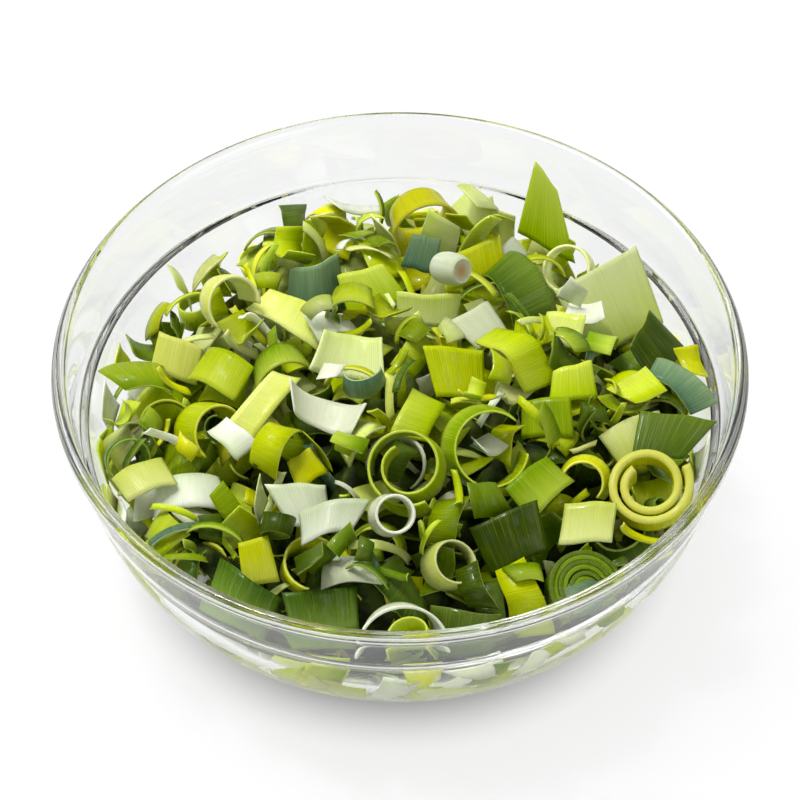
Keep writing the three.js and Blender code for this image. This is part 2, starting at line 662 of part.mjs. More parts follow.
function heapGeometry(map) {
  const shown = map.cellsShown();
  const filled = map.cuts.filter((cut) => !cut.name);
  const inView = map.cuts.filter((cut, i) => !cut.name && shown[i] >= SHOWN_CELLS);
  const packed = joined([coreSolid(filled), ...inView.map(sunkSolid)]);
  const onTop = map.cuts.filter((cut) => cut.name);
  const room = joined(onTop.map((cut) => placedSolid(cut, TOP_FACETS, LOOSE_GAP)));
  const pieces = packed.subtract(room).intersect(cavitySolid()).decompose();
  return geometryOf(pieces.reduce((most, piece) => (piece.volume() > most.volume() ? piece : most)));
}

// Assembly

function leekMaterial(tone) {
  return new THREE.MeshStandardMaterial({ color: TONES[tone].colour, roughness: 0.4, metalness: 0 });
}

function glassMaterial() {
  return new THREE.MeshStandardMaterial({
    color: 0xeaf3f0,
    roughness: 0.03,
    metalness: 0,
    transparent: true,
    opacity: 0.3,
  });
}

function addMesh(group, name, geometry, material) {
  const mesh = new THREE.Mesh(geometry, material);
  mesh.name = name;
  group.add(mesh);
  return mesh;
}

function bowlOfLeeks() {
  const group = new THREE.Group();
  const heap = layHeap();
  addMesh(group, 'glass_bowl', bowlGeometry(), glassMaterial());
  addMesh(group, 'leek_heap', heapGeometry(heap), leekMaterial('lime'));
  for (const cut of heap.cuts.filter((c) => c.name)) {
    const mesh = addMesh(group, cut.name, cutGeometry(cut, TOP_FACETS, 0), leekMaterial(cut.tone));
    mesh.position.copy(cut.place);
    mesh.quaternion.copy(cut.turn);
  }
  return group;
}

export default bowlOfLeeks();
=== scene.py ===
import json
import math

import bmesh
import bpy
import numpy as np
from mathutils import Matrix, Vector

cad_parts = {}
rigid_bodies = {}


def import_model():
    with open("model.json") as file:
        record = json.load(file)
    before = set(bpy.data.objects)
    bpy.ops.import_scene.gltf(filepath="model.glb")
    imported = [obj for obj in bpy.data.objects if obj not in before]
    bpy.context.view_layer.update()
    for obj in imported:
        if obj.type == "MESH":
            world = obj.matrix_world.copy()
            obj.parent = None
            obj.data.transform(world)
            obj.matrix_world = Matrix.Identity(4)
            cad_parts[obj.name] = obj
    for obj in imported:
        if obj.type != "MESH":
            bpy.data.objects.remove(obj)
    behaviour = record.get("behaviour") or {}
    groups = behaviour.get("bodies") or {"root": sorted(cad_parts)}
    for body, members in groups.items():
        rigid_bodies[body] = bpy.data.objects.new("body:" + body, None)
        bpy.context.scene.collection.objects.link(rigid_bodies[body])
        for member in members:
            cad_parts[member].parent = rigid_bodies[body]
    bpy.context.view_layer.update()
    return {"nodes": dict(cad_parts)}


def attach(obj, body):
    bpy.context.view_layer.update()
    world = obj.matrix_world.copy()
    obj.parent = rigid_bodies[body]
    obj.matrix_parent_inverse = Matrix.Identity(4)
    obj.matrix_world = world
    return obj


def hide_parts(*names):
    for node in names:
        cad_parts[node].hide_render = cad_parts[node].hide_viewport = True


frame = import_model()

mm = 0.001
golden, plastic = 0.6180339, 0.7548776  # steps that spread values evenly from 0 to 1
print("frame loaded:", len(frame["nodes"]), "solids")


def srgb(code):
    parts = [int(code[i:i + 2], 16) / 255 for i in (1, 3, 5)]
    return [c / 12.92 if c <= 0.04045 else ((c + 0.055) / 1.055) ** 2.4 for c in parts]


def newMaterial(name):
    mat = bpy.data.materials.new(name)
    mat.use_nodes = True
    tree = mat.node_tree
    return mat, tree.nodes, tree.links, tree.nodes["Principled BSDF"]


def setInputs(node, values):
    for socket, value in values.items():
        node.inputs[socket].default_value = value


def addObject(name, data):
    made = bpy.data.objects.new(name, data)
    bpy.context.scene.collection.objects.link(made)
    return made


def addPiece(name, mesh, node):
    piece = addObject(name, mesh)
    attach(piece, "root")
    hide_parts(node)


# camera first, from the rim's ellipse in the photo
view = {
    "elevation": 49.79,   # degrees above the table
    "distance": 1.5,      # metres to the bowl's axis
    "aimHeight": 0.06406,
    "lens": 202.8,        # on a 36 mm sensor, square frame
}


def addCamera():
    up = math.radians(view["elevation"])
    cam = addObject("photoCamera", bpy.data.cameras.new("photoCamera"))
    cam.data.lens = view["lens"]
    cam.data.sensor_width = 36
    cam.data.sensor_height = 36
    cam.data.clip_start = 0.01
    reach = view["distance"]
    cam.location = (0, -reach * math.cos(up), view["aimHeight"] + reach * math.sin(up))
    cam.rotation_euler = (math.pi / 2 - up, 0, 0)
    bpy.context.scene.camera = cam


studio = {
    "floorSize": 6.0,
    "floorColour": "#727272",
    "bounces": 28,
    "floorGlow": 0.81,    # the table is lit from below as well, which keeps shadows and glass edges light
    "dark": (0.06, 0.1),  # metres from the axis over which the glow sets in; nearer the axis the floor is left dark, a painted shadow under the bowl
    "skyTop": 0.34,       # brightness overhead
    "skyLow": 0.24,       # brightness at the horizon, which draws the glass edges
    "key": {"power": 17, "size": 0.9, "at": (-0.55, 0.55, 1.35)},
    "spark": {"power": 6, "size": 0.16, "at": (-0.35, 0.25, 1.45)},
    "fill": {"power": 4, "size": 1.2, "at": (0.9, -0.7, 1.1)},
}


def addLight(name, spec):
    data = bpy.data.lights.new(name, "AREA")
    data.energy = spec["power"]
    data.size = spec["size"]
    lamp = addObject(name, data)
    lamp.location = spec["at"]
    aim = Vector((0, 0, 0.06)) - lamp.location
    lamp.rotation_euler = aim.to_track_quat("-Z", "Y").to_euler()


def addStudio():
    half = studio["floorSize"] / 2
    mesh = bpy.data.meshes.new("paleFloor")
    corners = [(-half, -half, 0), (half, -half, 0), (half, half, 0), (-half, half, 0)]
    mesh.from_pydata(corners, [], [(0, 1, 2, 3)])
    floor = addObject("paleFloor", mesh)
    mat, nodes, links, shader = newMaterial("paleFloor")
    setInputs(shader, {
        "Base Color": (*srgb(studio["floorColour"]), 1), "Roughness": 0.9,
        "Specular IOR Level": 0.1, "Emission Color": (1, 1, 1, 1),
    })
    # painted shadow: no glow under the bowl, so the floor there stays dark like a contact shadow
    coord = nodes.new("ShaderNodeTexCoord")
    away = nodes.new("ShaderNodeVectorMath")
    away.operation = "LENGTH"
    glow = nodes.new("ShaderNodeMapRange")
    glow.interpolation_type = "SMOOTHSTEP"
    start, full = studio["dark"]
    setInputs(glow, {"From Min": start, "From Max": full, "To Min": 0, "To Max": studio["floorGlow"]})
    links.new(coord.outputs["Object"], away.inputs[0])
    links.new(away.outputs["Value"], glow.inputs["Value"])
    links.new(glow.outputs["Result"], shader.inputs["Emission Strength"])
    mesh.materials.append(mat)
    addLight("keySoftbox", studio["key"])
    addLight("sparkLamp", studio["spark"])
    addLight("fillSoftbox", studio["fill"])
    addSky()
    bpy.context.scene.view_settings.view_transform = "Standard"
    # light that runs round inside the rim and the ledge needs many turns to get out again
    for kind in ("max_bounces", "transmission_bounces", "glossy_bounces"):
        setattr(bpy.context.scene.cycles, kind, studio["bounces"])
    print("studio ready")


def addSky():
    world = bpy.data.worlds.new("studioSky")
    bpy.context.scene.world = world
    world.use_nodes = True
    nodes, links = world.node_tree.nodes, world.node_tree.links
    coord = nodes.new("ShaderNodeTexCoord")
    split = nodes.new("ShaderNodeSeparateXYZ")
    ramp = nodes.new("ShaderNodeValToRGB")
    low, top = studio["skyLow"], studio["skyTop"]
    ramp.color_ramp.elements[0].position = 0.12
    ramp.color_ramp.elements[0].color = (low, low, low * 1.02, 1)
    ramp.color_ramp.elements[1].position = 0.55
    ramp.color_ramp.elements[1].color = (top, top, top, 1)
    links.new(coord.outputs["Generated"], split.inputs[0])
    links.new(split.outputs["Z"], ramp.inputs["Fac"])
    links.new(ramp.outputs["Color"], nodes["Background"].inputs["Color"])


# the glass
bowl = {
    "rimRadius": 115.0,
    "height": 84.0,
    "collarHeight": 25.0,
    "wall": 4.2,
    "footRadius": 58.0,
    "footRing": 11.0,
    "footHollow": 1.2,
    "bead": 0.9,
    "insideSteps": 6,     # steps of the inner curve that the heap lies on
    "curveSteps": 22,
    "sides": 160,
    "rounding": 2,        # passes of corner cutting on the profile
    "tint": "#f8f9f9",
    "ior": 1.5,
}
ledge = bowl["height"] - bowl["collarHeight"]
ledgeRadius = bowl["rimRadius"] - 7


def curve(p0, p1, p2, p3, steps):
    t = np.linspace(0, 1, steps + 1)[:, None]
    p0, p1, p2, p3 = (np.array(p, float) for p in (p0, p1, p2, p3))
    return (1 - t) ** 3 * p0 + 3 * (1 - t) ** 2 * t * p1 + 3 * (1 - t) * t * t * p2 + t ** 3 * p3


def outsideProfile(steps):
    hollow = bowl["footRadius"] - bowl["footRing"]
    foot, rim, top, bead = bowl["footRadius"], bowl["rimRadius"], bowl["height"], bowl["bead"]
    lowWall = curve((foot + 1.5, 0.6), (86, 6), (105, 30), (ledgeRadius, ledge - 2), steps)
    return np.vstack([
        [(0, bowl["footHollow"]), (hollow, bowl["footHollow"]), (hollow + 1, 0), (foot, 0)],
        lowWall,
        [(ledgeRadius + 1.6, ledge + 1), (ledgeRadius + 2.3, ledge + 4), (ledgeRadius + 2.6, ledge + 7)],
        [(rim - bead - 0.5, top - 5.5), (rim, top - 4), (rim, top - 1.8)],
        [(rim - 1, top - 0.4), (rim - 2.4, top)],
    ])


def insideProfile(steps):
    wall, rim, top = bowl["wall"], bowl["rimRadius"], bowl["height"]
    inner = ledgeRadius - wall
    lowWall = curve((54, 5.4), (83, 10.5), (101, 32), (inner, ledge - 1.5), steps)
    return np.vstack([
        [(0, 5.2)],
        lowWall,
        [(inner + 0.5, ledge - 0.2), (ledgeRadius - 1.4, ledge + 0.8), (ledgeRadius - 0.8, ledge + 2)],
        [(rim - wall - bowl["bead"] - 0.3, top - 4), (rim - wall, top - 0.8)],
    ])


def roundedCorners(line, passes):
    for _ in range(passes):
        near = 0.75 * line[:-1] + 0.25 * line[1:]
        far = 0.25 * line[:-1] + 0.75 * line[1:]
        line = np.vstack([line[:1], np.stack([near, far], 1).reshape(-1, 2), line[-1:]])
    return line


def ringFaces(bm, rows, sides):
    # from each row of points to the next, where a row on the axis is one point
    made = []
    for row, (a, b) in enumerate(zip(rows, rows[1:])):
        for k in range(sides):
            ring = [a[k % len(a)], a[(k + 1) % len(a)], b[(k + 1) % len(b)], b[k % len(b)]]
            made.append((row, k, bm.faces.new(list(dict.fromkeys(ring)))))
    return made


def latheMesh(name, line, sides):
    bm = bmesh.new()
    angles = np.linspace(0, 2 * math.pi, sides, endpoint=False)
    rows = []
    for radius, height in line * mm:
        if radius < 1e-7:
            rows.append([bm.verts.new((0, 0, height))])
        else:
            rows.append([bm.verts.new((radius * math.cos(a), radius * math.sin(a), height)) for a in angles])
    ringFaces(bm, rows, sides)
    bmesh.ops.recalc_face_normals(bm, faces=bm.faces)
    mesh = bpy.data.meshes.new(name)
    bm.to_mesh(mesh)
    bm.free()
    mesh.shade_smooth()
    return mesh


def glassMaterial():
    mat, nodes, links, glass = newMaterial("clearGlass")
    tint = (*srgb(bowl["tint"]), 1)
    setInputs(glass, {"Base Color": tint, "Roughness": 0, "IOR": bowl["ior"], "Transmission Weight": 1})
    # faint waves of pressed glass
    coord = nodes.new("ShaderNodeTexCoord")
    wave = nodes.new("ShaderNodeTexNoise")
    setInputs(wave, {"Scale": 38, "Detail": 1})
    bump = nodes.new("ShaderNodeBump")
    setInputs(bump, {"Strength": 0.05, "Distance": 0.002})
    links.new(coord.outputs["Object"], wave.inputs["Vector"])
    links.new(wave.outputs["Fac"], bump.inputs["Height"])
    links.new(bump.outputs["Normal"], glass.inputs["Normal"])
    # lamps shine through it as through thin glass
    clear = nodes.new("ShaderNodeBsdfTransparent")
    clear.inputs["Color"].default_value = (0.9, 0.93, 0.92, 1)
    path = nodes.new("ShaderNodeLightPath")
    mix = nodes.new("ShaderNodeMixShader")
    links.new(path.outputs["Is Shadow Ray"], mix.inputs["Fac"])
    links.new(glass.outputs["BSDF"], mix.inputs[1])
    links.new(clear.outputs["BSDF"], mix.inputs[2])
    links.new(mix.outputs["Shader"], nodes["Material Output"].inputs["Surface"])
    return mat


def addBowl():
    steps = bowl["curveSteps"]
    line = np.vstack([outsideProfile(steps), insideProfile(steps)[::-1]])
    mesh = latheMesh("saladBowl", roundedCorners(line, bowl["rounding"]), bowl["sides"])
    mesh.materials.append(glassMaterial())
    addPiece("saladBowl", mesh, "glass_bowl")
    print("bowl:", len(mesh.polygons), "faces")


# how the leek lies: the same rule, seeds and sizes as the solids
heap = {
    "radius": 98.0,
    "x": 5.0,
    "y": -5.0,
    "edge": 58.0,
    "crown": 80.0,
    "clearance": 0.8,
    "wallMargin": 2.2,
    "furthest": ledgeRadius - 2.5,
    "fillSeed": 20417,
    "topSeed": 5003,
    "topSeedStep": 7919,
    "fillCount": 900,
    "fillTries": 12,
    "lateCount": 700,
    "lateRise": 6.0,
    "coverShare": 0.05,
    "settleTries": 60,
    "settleTurn": 14.0,
    "settleShift": 3.0,
    "sampleStep": 1.0,
    "cell": 1.5,
    "grid": 144,
    "buriedShare": 0.05,
    "pressedShare": 0.35,
    "firmGap": 0.9,
    "topFlare": 0.3,
    "topSkew": 0.22,
    "shredCount": 220,
    "shredSizes": (0.42, 0.65),
    "shredRise": 6.0,
}
foldShare = 0.125
rollTaper = 0.62
sectionSteps = 48
stackLayers, stackPitch = 6, 1.7

# from the green tops to the white shaft: thickness, then outer skin, inner skin and cut edge
tones = {
    "dark": {"thick": 1.0, "skin": "#314806", "inner": "#5f7a06", "edge": "#a6b856", "paleEnd": 0.45},
    "blue": {"thick": 1.0, "skin": "#42634c", "inner": "#76935e", "edge": "#b9c896", "paleEnd": 0.45},
    "mid": {"thick": 1.2, "skin": "#6c8c04", "inner": "#a3b804", "edge": "#ccd65a"},
    "lime": {"thick": 1.5, "skin": "#a6bc04", "inner": "#c6d008", "edge": "#dfe668", "veins": 0.7},
    "yellow": {"thick": 1.4, "skin": "#d2d804", "inner": "#e0e612", "edge": "#edf080", "veins": 0.6},
    "pale": {"thick": 1.6, "skin": "#c9d45e", "inner": "#dae28c", "edge": "#ebefb6", "veins": 0.4},
    "white": {"thick": 1.5, "skin": "#d3dcb6", "inner": "#e2e8cc", "edge": "#f2f4e6", "veins": 0.35},
}
toneNames = list(tones)
fillTones = [
    ("lime", 0.34), ("pale", 0.21), ("mid", 0.16), ("dark", 0.1),
    ("white", 0.09), ("yellow", 0.07), ("blue", 0.03),
]

# what shows of the fill: tone, and its share at the front and at the back of the heap
shownDepth = 140.0
shownTones = [
    ("lime", 0.2, 0.38), ("pale", 0.06, 0.26), ("mid", 0.27, 0.12), ("dark", 0.36, 0.04),
    ("white", 0.04, 0.12), ("yellow", 0.04, 0.08), ("blue", 0.03, 0),
]

# filled cuts: form, share, arc width, bend in degrees, cut length, and how far off square
fillSizes = (0.65, 1)
fillCuts = [
    ("band", 0.1, 18, 90, 11, 0.3, 0.2),
    ("band", 0.1, 24, 120, 12, -0.25, -0.15),
    ("band", 0.08, 30, 165, 13, 0.2, 0.1),
    ("band", 0.1, 20, 60, 14, 0.4, -0.25),
    ("band", 0.1, 16, 30, 16, -0.35, 0.3),
    ("band", 0.1, 24, 35, 13, 0.25, -0.35),
    ("band", 0.07, 34, 200, 10, 0.15, 0.1),
    ("band", 0.05, 42, 270, 10, -0.15, 0.1),
    ("fold", 0.07, 24, 70, 12, 0.3, 0.2),
    ("fold", 0.06, 28, 105, 14, -0.3, -0.1),
    ("ring", 0.02, 40, 360, 9, 0.1, 0.15),
    ("ring", 0.03, 60, 360, 10, 0.1, -0.1),
    ("band", 0.06, 20, 60, 3.5, 0.2, 0),
    ("band", 0.06, 26, 110, 3, 0.1, 0),
]

# the cuts on top, in the order of these fields, of which the last three may be left out
topFields = (
    "name", "tone", "form", "width", "bend", "length", "x", "y", "yaw", "pitch", "roll", "flare", "skew",
    "thick",
)
topCuts = [
    ("yellow_ring_back", "yellow", "ring", 66, 360, 12, 9, 78, 5, -15, 0),
    ("white_strip_back", "white", "band", 15, 100, 8.5, 38, 64, 30, 20, 0),
    ("pale_ring_back", "pale", "ring", 50, 360, 11, 60, 62, -20, -40, 0),
    ("dark_leaf_back", "dark", "band", 20, 30, 11, -58, 59, 35, 20, 55),
    ("folded_leaf_back", "blue", "fold", 26, 95, 17, -31, 50, 8, 48, 0, -0.3, 0.1),
    ("lime_square_back", "lime", "band", 19, 35, 15, -13, 47, 25, 25, 0),
    ("blue_strip_back", "blue", "band", 11, 25, 12, 5, 57, -10, 40, 0),
    ("lime_band_back", "lime", "band", 22, 60, 12, 23, 63, 5, 35, 180),
    ("lime_point_back", "lime", "band", 14, 20, 26, 52, 86, 2, 68, 0, -0.9, -0.8),
    ("pale_leaf_right", "pale", "band", 32, 30, 27, 70, 47, 30, 30, 0),
    ("dark_arch_back", "dark", "band", 34, 125, 16, 38, 44, -45, -10, 0),
    ("pale_strip_back", "pale", "band", 26, 40, 12, -36, 29, -35, 15, 0),
    ("pale_curl_left", "pale", "band", 36, 230, 11, -57, 33, 20, -50, 0),
    ("pale_square_left", "pale", "band", 16, 25, 13, -72, 20, 0, 35, 0),
    ("pale_strip_centre", "pale", "band", 22, 60, 11, 9, 29, -5, 40, 0),
    ("white_heart", "white", "heart", 36, 360, 13, 16, 40, 215, 15, 0, 0, 0),
    ("white_leaf_centre", "white", "band", 17, 35, 14, 30, 27, 30, 20, 0),
    ("dark_leaf_right", "dark", "band", 21, 25, 17, 85, 24, 40, 30, 0),
    ("mid_petal_right", "mid", "band", 22, 110, 10, 65, 25, 75, 20, 50),
    ("pale_flat_right", "pale", "band", 14, 25, 11, 53, 24, -15, 25, 0),
    ("lime_strap_right", "lime", "fold", 33, 80, 12, 36, 8, -60, 10, 0),
    ("lime_flat_centre", "lime", "band", 19, 20, 17, 18, 3, 20, 20, 0),
    ("lime_cup_centre", "pale", "band", 24, 80, 15, -14, 6, -20, 15, 180),
    ("lime_arch_left", "mid", "band", 28, 170, 13, -38, 8, 15, -15, 0),
    ("lime_band_left", "lime", "band", 22, 80, 14, -58, 9, -20, 20, 0),
    ("mid_curl_left", "mid", "band", 31, 200, 10, -74, -4, 10, -55, 0),
    ("lime_arch_right", "lime", "band", 23, 150, 7.5, 76, 8, 10, -20, 0),
    ("blue_strip_right", "blue", "band", 25, 90, 10, 90, 2, -30, 10, 0),
    ("lime_block_right", "lime", "band", 15, 50, 12, 55, 3, 10, 20, 0),
    ("pale_strap_left", "pale", "band", 28, 45, 10, -45, -10, 80, 10, 0),
    ("yellow_curl_left", "lime", "band", 34, 210, 13, -64, -14, 30, -40, 0),
    ("white_cup_left", "white", "band", 29, 135, 11, -27, -13, -15, 25, 180, 0.3, 0.2),
    ("lime_strip_centre", "lime", "band", 19, 60, 12, 9, -15, 75, 5, 0),
    ("pale_block_right", "pale", "band", 21, 70, 14, 76, -17, 15, 20, 0),
    ("dark_kite_right", "dark", "band", 20, 25, 17, 92, -19, -40, 25, 0, 0.45, 0.4),
    ("mid_strip_right", "mid", "band", 17, 25, 13, 51, -14, 0, 25, 0),
    ("white_strip_left", "white", "band", 15, 70, 8.5, -53, -22, -50, 10, 0),
    ("green_ring", "mid", "band", 70, 305, 12, 28, -31, 10, -50, -80, 0.1, 0.1),
    ("yellow_roll", "yellow", "band", 31, 230, 8.5, 59, -32, -10, -50, 0),
    ("yellow_flat", "yellow", "band", 12, 25, 10, -28, -29, 30, 20, 0),
    ("pale_band_left", "white", "band", 26, 100, 13, -67, -34, 20, 20, 0),
    ("lime_ring", "lime", "roll", 104, 540, 11, 4, -41, -15, -55, 40, 0.1, 0.1),
    ("lime_leaf_edge", "pale", "band", 18, 60, 12, -85, -35, 40, 10, 0),
    ("spiral_slice", "yellow", "roll", 112, 620, 9, 83, -45, 0, -65, 0, 0, 0, 2.6),
    ("mid_leaf_left", "mid", "band", 26, 50, 7, -56, -47, -55, 10, 40),
    ("white_leaf_left", "white", "band", 17, 60, 15, -31, -43, 20, 25, 0, 0.4, -0.3),
    ("lime_band_right", "mid", "band", 23, 70, 13, 43, -42, 60, 10, 0),
    ("pale_square_right", "pale", "band", 17, 30, 14, 58, -54, -15, 30, 0),
    ("white_tube", "white", "ring", 38, 360, 14, -4, -61, 15, -45, 0),
    ("dark_leaf_front", "dark", "band", 22, 30, 17, 37, -62, 35, 30, 0),
    ("white_flat_front", "white", "fold", 21, 50, 12, -21, -60, -25, 20, 0, 0.4, 0.3),
    ("yellow_leaf_front", "yellow", "band", 11, 25, 15, -44, -66, 25, 25, 0),
    ("layered_slice", "dark", "stack", 40, 190, 7.5, 58, -74, 30, -60, 0, 0, 0),
    ("dark_fold_left", "dark", "fold", 27, 65, 13, -54, -77, -15, 30, 0),
    ("dark_block_front", "dark", "band", 23, 25, 15, -22, -84, 20, 40, 0),
    ("dark_leaf_edge", "dark", "band", 21, 25, 12, 17, -88, -5, 55, 0),
    ("white_arch_front", "white", "band", 38, 165, 8, -2, -90, 5, -42, 0),
]


def drawsFrom(seed):
    modulus = 2147483647
    state = seed

    def draw(low, high):
        nonlocal state
        state = state * 48271 % modulus
        return low + (high - low) * state / modulus
    return draw


def headingAt(cut, share):
    bend = math.radians(cut["bend"])
    if cut["form"] == "fold":
        return bend / 2 * np.clip(share / foldShare, -1, 1)
    return bend * share


def sectionLine(cut):
    # rows of x, z and heading across the leek, centred
    share = np.arange(sectionSteps + 1) / sectionSteps - 0.5
    middle = share[:-1] + 0.5 / sectionSteps
    taper = rollTaper if cut["form"] == "roll" else 0
    stride = cut["width"] / sectionSteps * (1 - taper * middle)
    turn = headingAt(cut, middle)
    x = np.concatenate([[0], np.cumsum(stride * np.cos(turn))])
    z = np.concatenate([[0], np.cumsum(-stride * np.sin(turn))])
    return np.stack([x - x.mean(), z - z.mean(), headingAt(cut, share)], 1)


def offSquare(cut, points):
    # one end of a cut is wider than the other, and the knife ran aslant
    x, y, z = points[..., 0], points[..., 1], points[..., 2]
    widen = 1 + cut["flare"] * y / cut["length"]
    return np.stack([x * widen, y + cut["skew"] * x, z * widen], -1)


def samplesOf(cut):
    across = min(sectionSteps, math.ceil(cut["width"] / heap["sampleStep"]))
    along = math.ceil(cut["length"] / heap["sampleStep"])
    picks = [math.floor(i * sectionSteps / across + 0.5) for i in range(across + 1)]
    line = sectionLine(cut)[picks]
    y = (np.arange(along + 1) / along - 0.5) * cut["length"]
    n = along + 1
    points = np.stack([np.repeat(line[:, 0], n), np.tile(y, across + 1), np.repeat(line[:, 1], n)], 1)
    return offSquare(cut, points)


def turnOf(yaw, pitch, roll):
    z, x, y = (math.radians(a) for a in (yaw, pitch, roll))
    return np.array(Matrix.Rotation(z, 3, "Z") @ Matrix.Rotation(x, 3, "X") @ Matrix.Rotation(y, 3, "Y"))


def slopeAt(x, y):
    away = math.hypot(x, y)
    slope = 2 * (heap["crown"] - heap["edge"]) * away / heap["radius"] ** 2
    return np.array(Matrix.Rotation(math.atan(slope), 3, Vector((-y, x, 0)) / away))


def fillTop(radius):
    return heap["edge"] + (heap["crown"] - heap["edge"]) * (1 - (radius / heap["radius"]) ** 2)


class HeightMap:
    def __init__(self):
        grid, cell = heap["grid"], heap["cell"]
        side = (np.arange(grid) + 0.5 - grid / 2) * cell
        x, y = np.meshgrid(side, side)
        widest = bowl["rimRadius"] - bowl["wall"] - 1
        radius = np.minimum(np.hypot(x, y) + heap["wallMargin"], widest)
        inside = insideProfile(bowl["insideSteps"])
        self.heights = (np.interp(radius, inside[:, 0], inside[:, 1]) + heap["clearance"]).ravel()
        self.firmHeights = self.heights.copy()
        self.onTop = np.zeros(grid * grid, bool)
        self.cuts = []

    def cells(self, points, x, y):
        grid, cell = heap["grid"], heap["cell"]
        col = np.floor((x + points[:, 0]) / cell + grid / 2).astype(int)
        row = np.floor((y + points[:, 1]) / cell + grid / 2).astype(int)
        return row * grid + col

    def rest(self, points, half, x, y, buried):
        cells = self.cells(points, x, y)
        stop = (self.firmHeights[cells] - points[:, 2]).max() + half + heap["firmGap"]
        soft = self.heights[cells] > self.firmHeights[cells]
        loose = np.sort((self.heights[cells] - points[:, 2] + half)[soft])
        if not len(loose):
            return stop
        return max(stop, loose[math.floor((1 - buried) * (len(loose) - 1))])

    def coveredShare(self, points, x, y):
        return self.onTop[self.cells(points, x, y)].mean()

    def meanAround(self, x, y, window):
        grid, cell = heap["grid"], heap["cell"]
        col, row = (math.floor(v / cell + grid / 2) for v in (x, y))
        rows, cols = slice(row - window, row + window + 1), slice(col - window, col + window + 1)
        return self.heights.reshape(grid, grid)[rows, cols].mean()

    def under(self, cut):
        # the cells that a cut lies over, and its height there
        return self.cells(cut["points"], *cut["place"][:2]), cut["place"][2] + cut["points"][:, 2]

    def lay(self, cut):
        self.cuts.append(cut)
        cells, z = self.under(cut)
        top = z + cut["half"]
        if "name" in cut:
            np.maximum.at(self.firmHeights, cells, top)
        self.onTop[cells[top > self.heights[cells]]] = "name" in cut
        np.maximum.at(self.heights, cells, top)


def keptInside(points, x, y):
    for _ in range(3):
        radius = math.hypot(x, y)
        reach = np.hypot(x + points[:, 0], y + points[:, 1]).max()
        keep = max(0, radius - max(0, reach - heap["furthest"])) / radius
        x, y = x * keep, y * keep
    return x, y


def pickByShare(rows, shareOf, value):
    for row in rows:
        value -= shareOf(row)
        if value <= 0:
            return row
    return rows[-1]


def fillCut(kind, tone, size):
    form, _, width, bend, length, flare, skew = fillCuts[kind]
    return {"form": form, "tone": tone, "width": width * size, "bend": bend, "length": length * size,
            "flare": flare, "skew": skew, "kind": kind, "size": size}


def drawCut(draw, sizes):
    kind = fillCuts.index(pickByShare(fillCuts, lambda row: row[1], draw(0, 1)))
    tone = pickByShare(fillTones, lambda row: row[1], draw(0, 1))[0]
    return fillCut(kind, tone, draw(*sizes))


def drawTurn(draw, cut):
    yaw = draw(0, 360)
    way = draw(0, 1)
    if cut["bend"] > 180 and way < 0.6:
        return turnOf(yaw, draw(-90, -45), draw(0, 360))
    if way < 0.55:
        return turnOf(yaw, draw(-30, 30), draw(-35, 35))
    if way < 0.8:
        return turnOf(yaw, draw(-30, 30), draw(145, 215))
    return turnOf(yaw, draw(-30, 30), draw(60, 120))


def tryPlace(ground, cut, samples, turn, x, y, buried):
    points = samples @ turn.T
    x, y = keptInside(points, x, y)
    half = cut.get("thick", tones[cut["tone"]]["thick"]) / 2
    place = np.array([x, y, ground.rest(points, half, x, y, buried)])
    return {**cut, "points": points, "half": half, "turn": turn, "place": place}


def layFill(ground, draw, count, rise, sizes=fillSizes):
    for _ in range(count):
        cut = drawCut(draw, sizes)
        samples = samplesOf(cut)
        best, lowest = None, rise
        for _ in range(heap["fillTries"]):
            radius = heap["radius"] * math.sqrt(draw(0, 1))
            angle = draw(0, 2 * math.pi)
            x, y = radius * math.cos(angle), radius * math.sin(angle)
            turn = slopeAt(x, y) @ drawTurn(draw, cut)
            tried = tryPlace(ground, cut, samples, turn, heap["x"] + x, heap["y"] + y, heap["buriedShare"])
            x, y, z = tried["place"]
            over = z - fillTop(math.hypot(x - heap["x"], y - heap["y"]))
            if ground.coveredShare(tried["points"], x, y) > heap["coverShare"]:
                continue
            if over < lowest:
                best, lowest = tried, over
        if best:
            ground.lay(best)


def layTop(ground):
    for rank, row in enumerate(topCuts):
        draw = drawsFrom(heap["topSeed"] + rank * heap["topSeedStep"])

        def around(value, spread):
            return value + draw(-heap[spread], heap[spread])

        cut = {"flare": around(0, "topFlare"), "skew": around(0, "topSkew")}
        cut.update(zip(topFields, row))
        samples = samplesOf(cut)
        best = None
        for _ in range(heap["settleTries"]):
            turns = [around(cut[key], "settleTurn") for key in ("yaw", "pitch", "roll")]
            x, y = (around(cut[key], "settleShift") for key in ("x", "y"))
            tried = tryPlace(ground, cut, samples, turnOf(*turns), x, y, heap["pressedShare"])
            if best is None or tried["place"][2] < best["place"][2]:
                best = tried
        ground.lay(best)


def withoutPierced(ground, filled, onTop):
    # filled cuts that the cuts on top have come down through are pushed out
    low = np.full(heap["grid"] ** 2, math.inf)
    high = -low
    for cut in onTop:
        cells, z = ground.under(cut)
        np.minimum.at(low, cells, z - cut["half"])
        np.maximum.at(high, cells, z + cut["half"])
    kept = []
    for cut in filled:
        cells, z = ground.under(cut)
        if not ((z > low[cells]) & (z < high[cells])).any():
            kept.append(cut)
    return kept


def layHeap():
    draw = drawsFrom(heap["fillSeed"])
    first = HeightMap()
    layFill(first, draw, heap["fillCount"], 0)
    filled = list(first.cuts)
    layTop(first)
    onTop = first.cuts[len(filled):]
    ground = HeightMap()
    for cut in withoutPierced(ground, filled, onTop) + onTop:
        ground.lay(cut)
    layFill(ground, draw, heap["lateCount"], heap["lateRise"])
    # shreds too small for the solids
    layFill(ground, draw, heap["shredCount"], heap["shredRise"], heap["shredSizes"])
    laid = [cut for cut in ground.cuts if "name" not in cut]
    print("heap laid:", len(filled), "dropped,", len(laid), "kept and", len(onTop), "on top")
    return laid, onTop


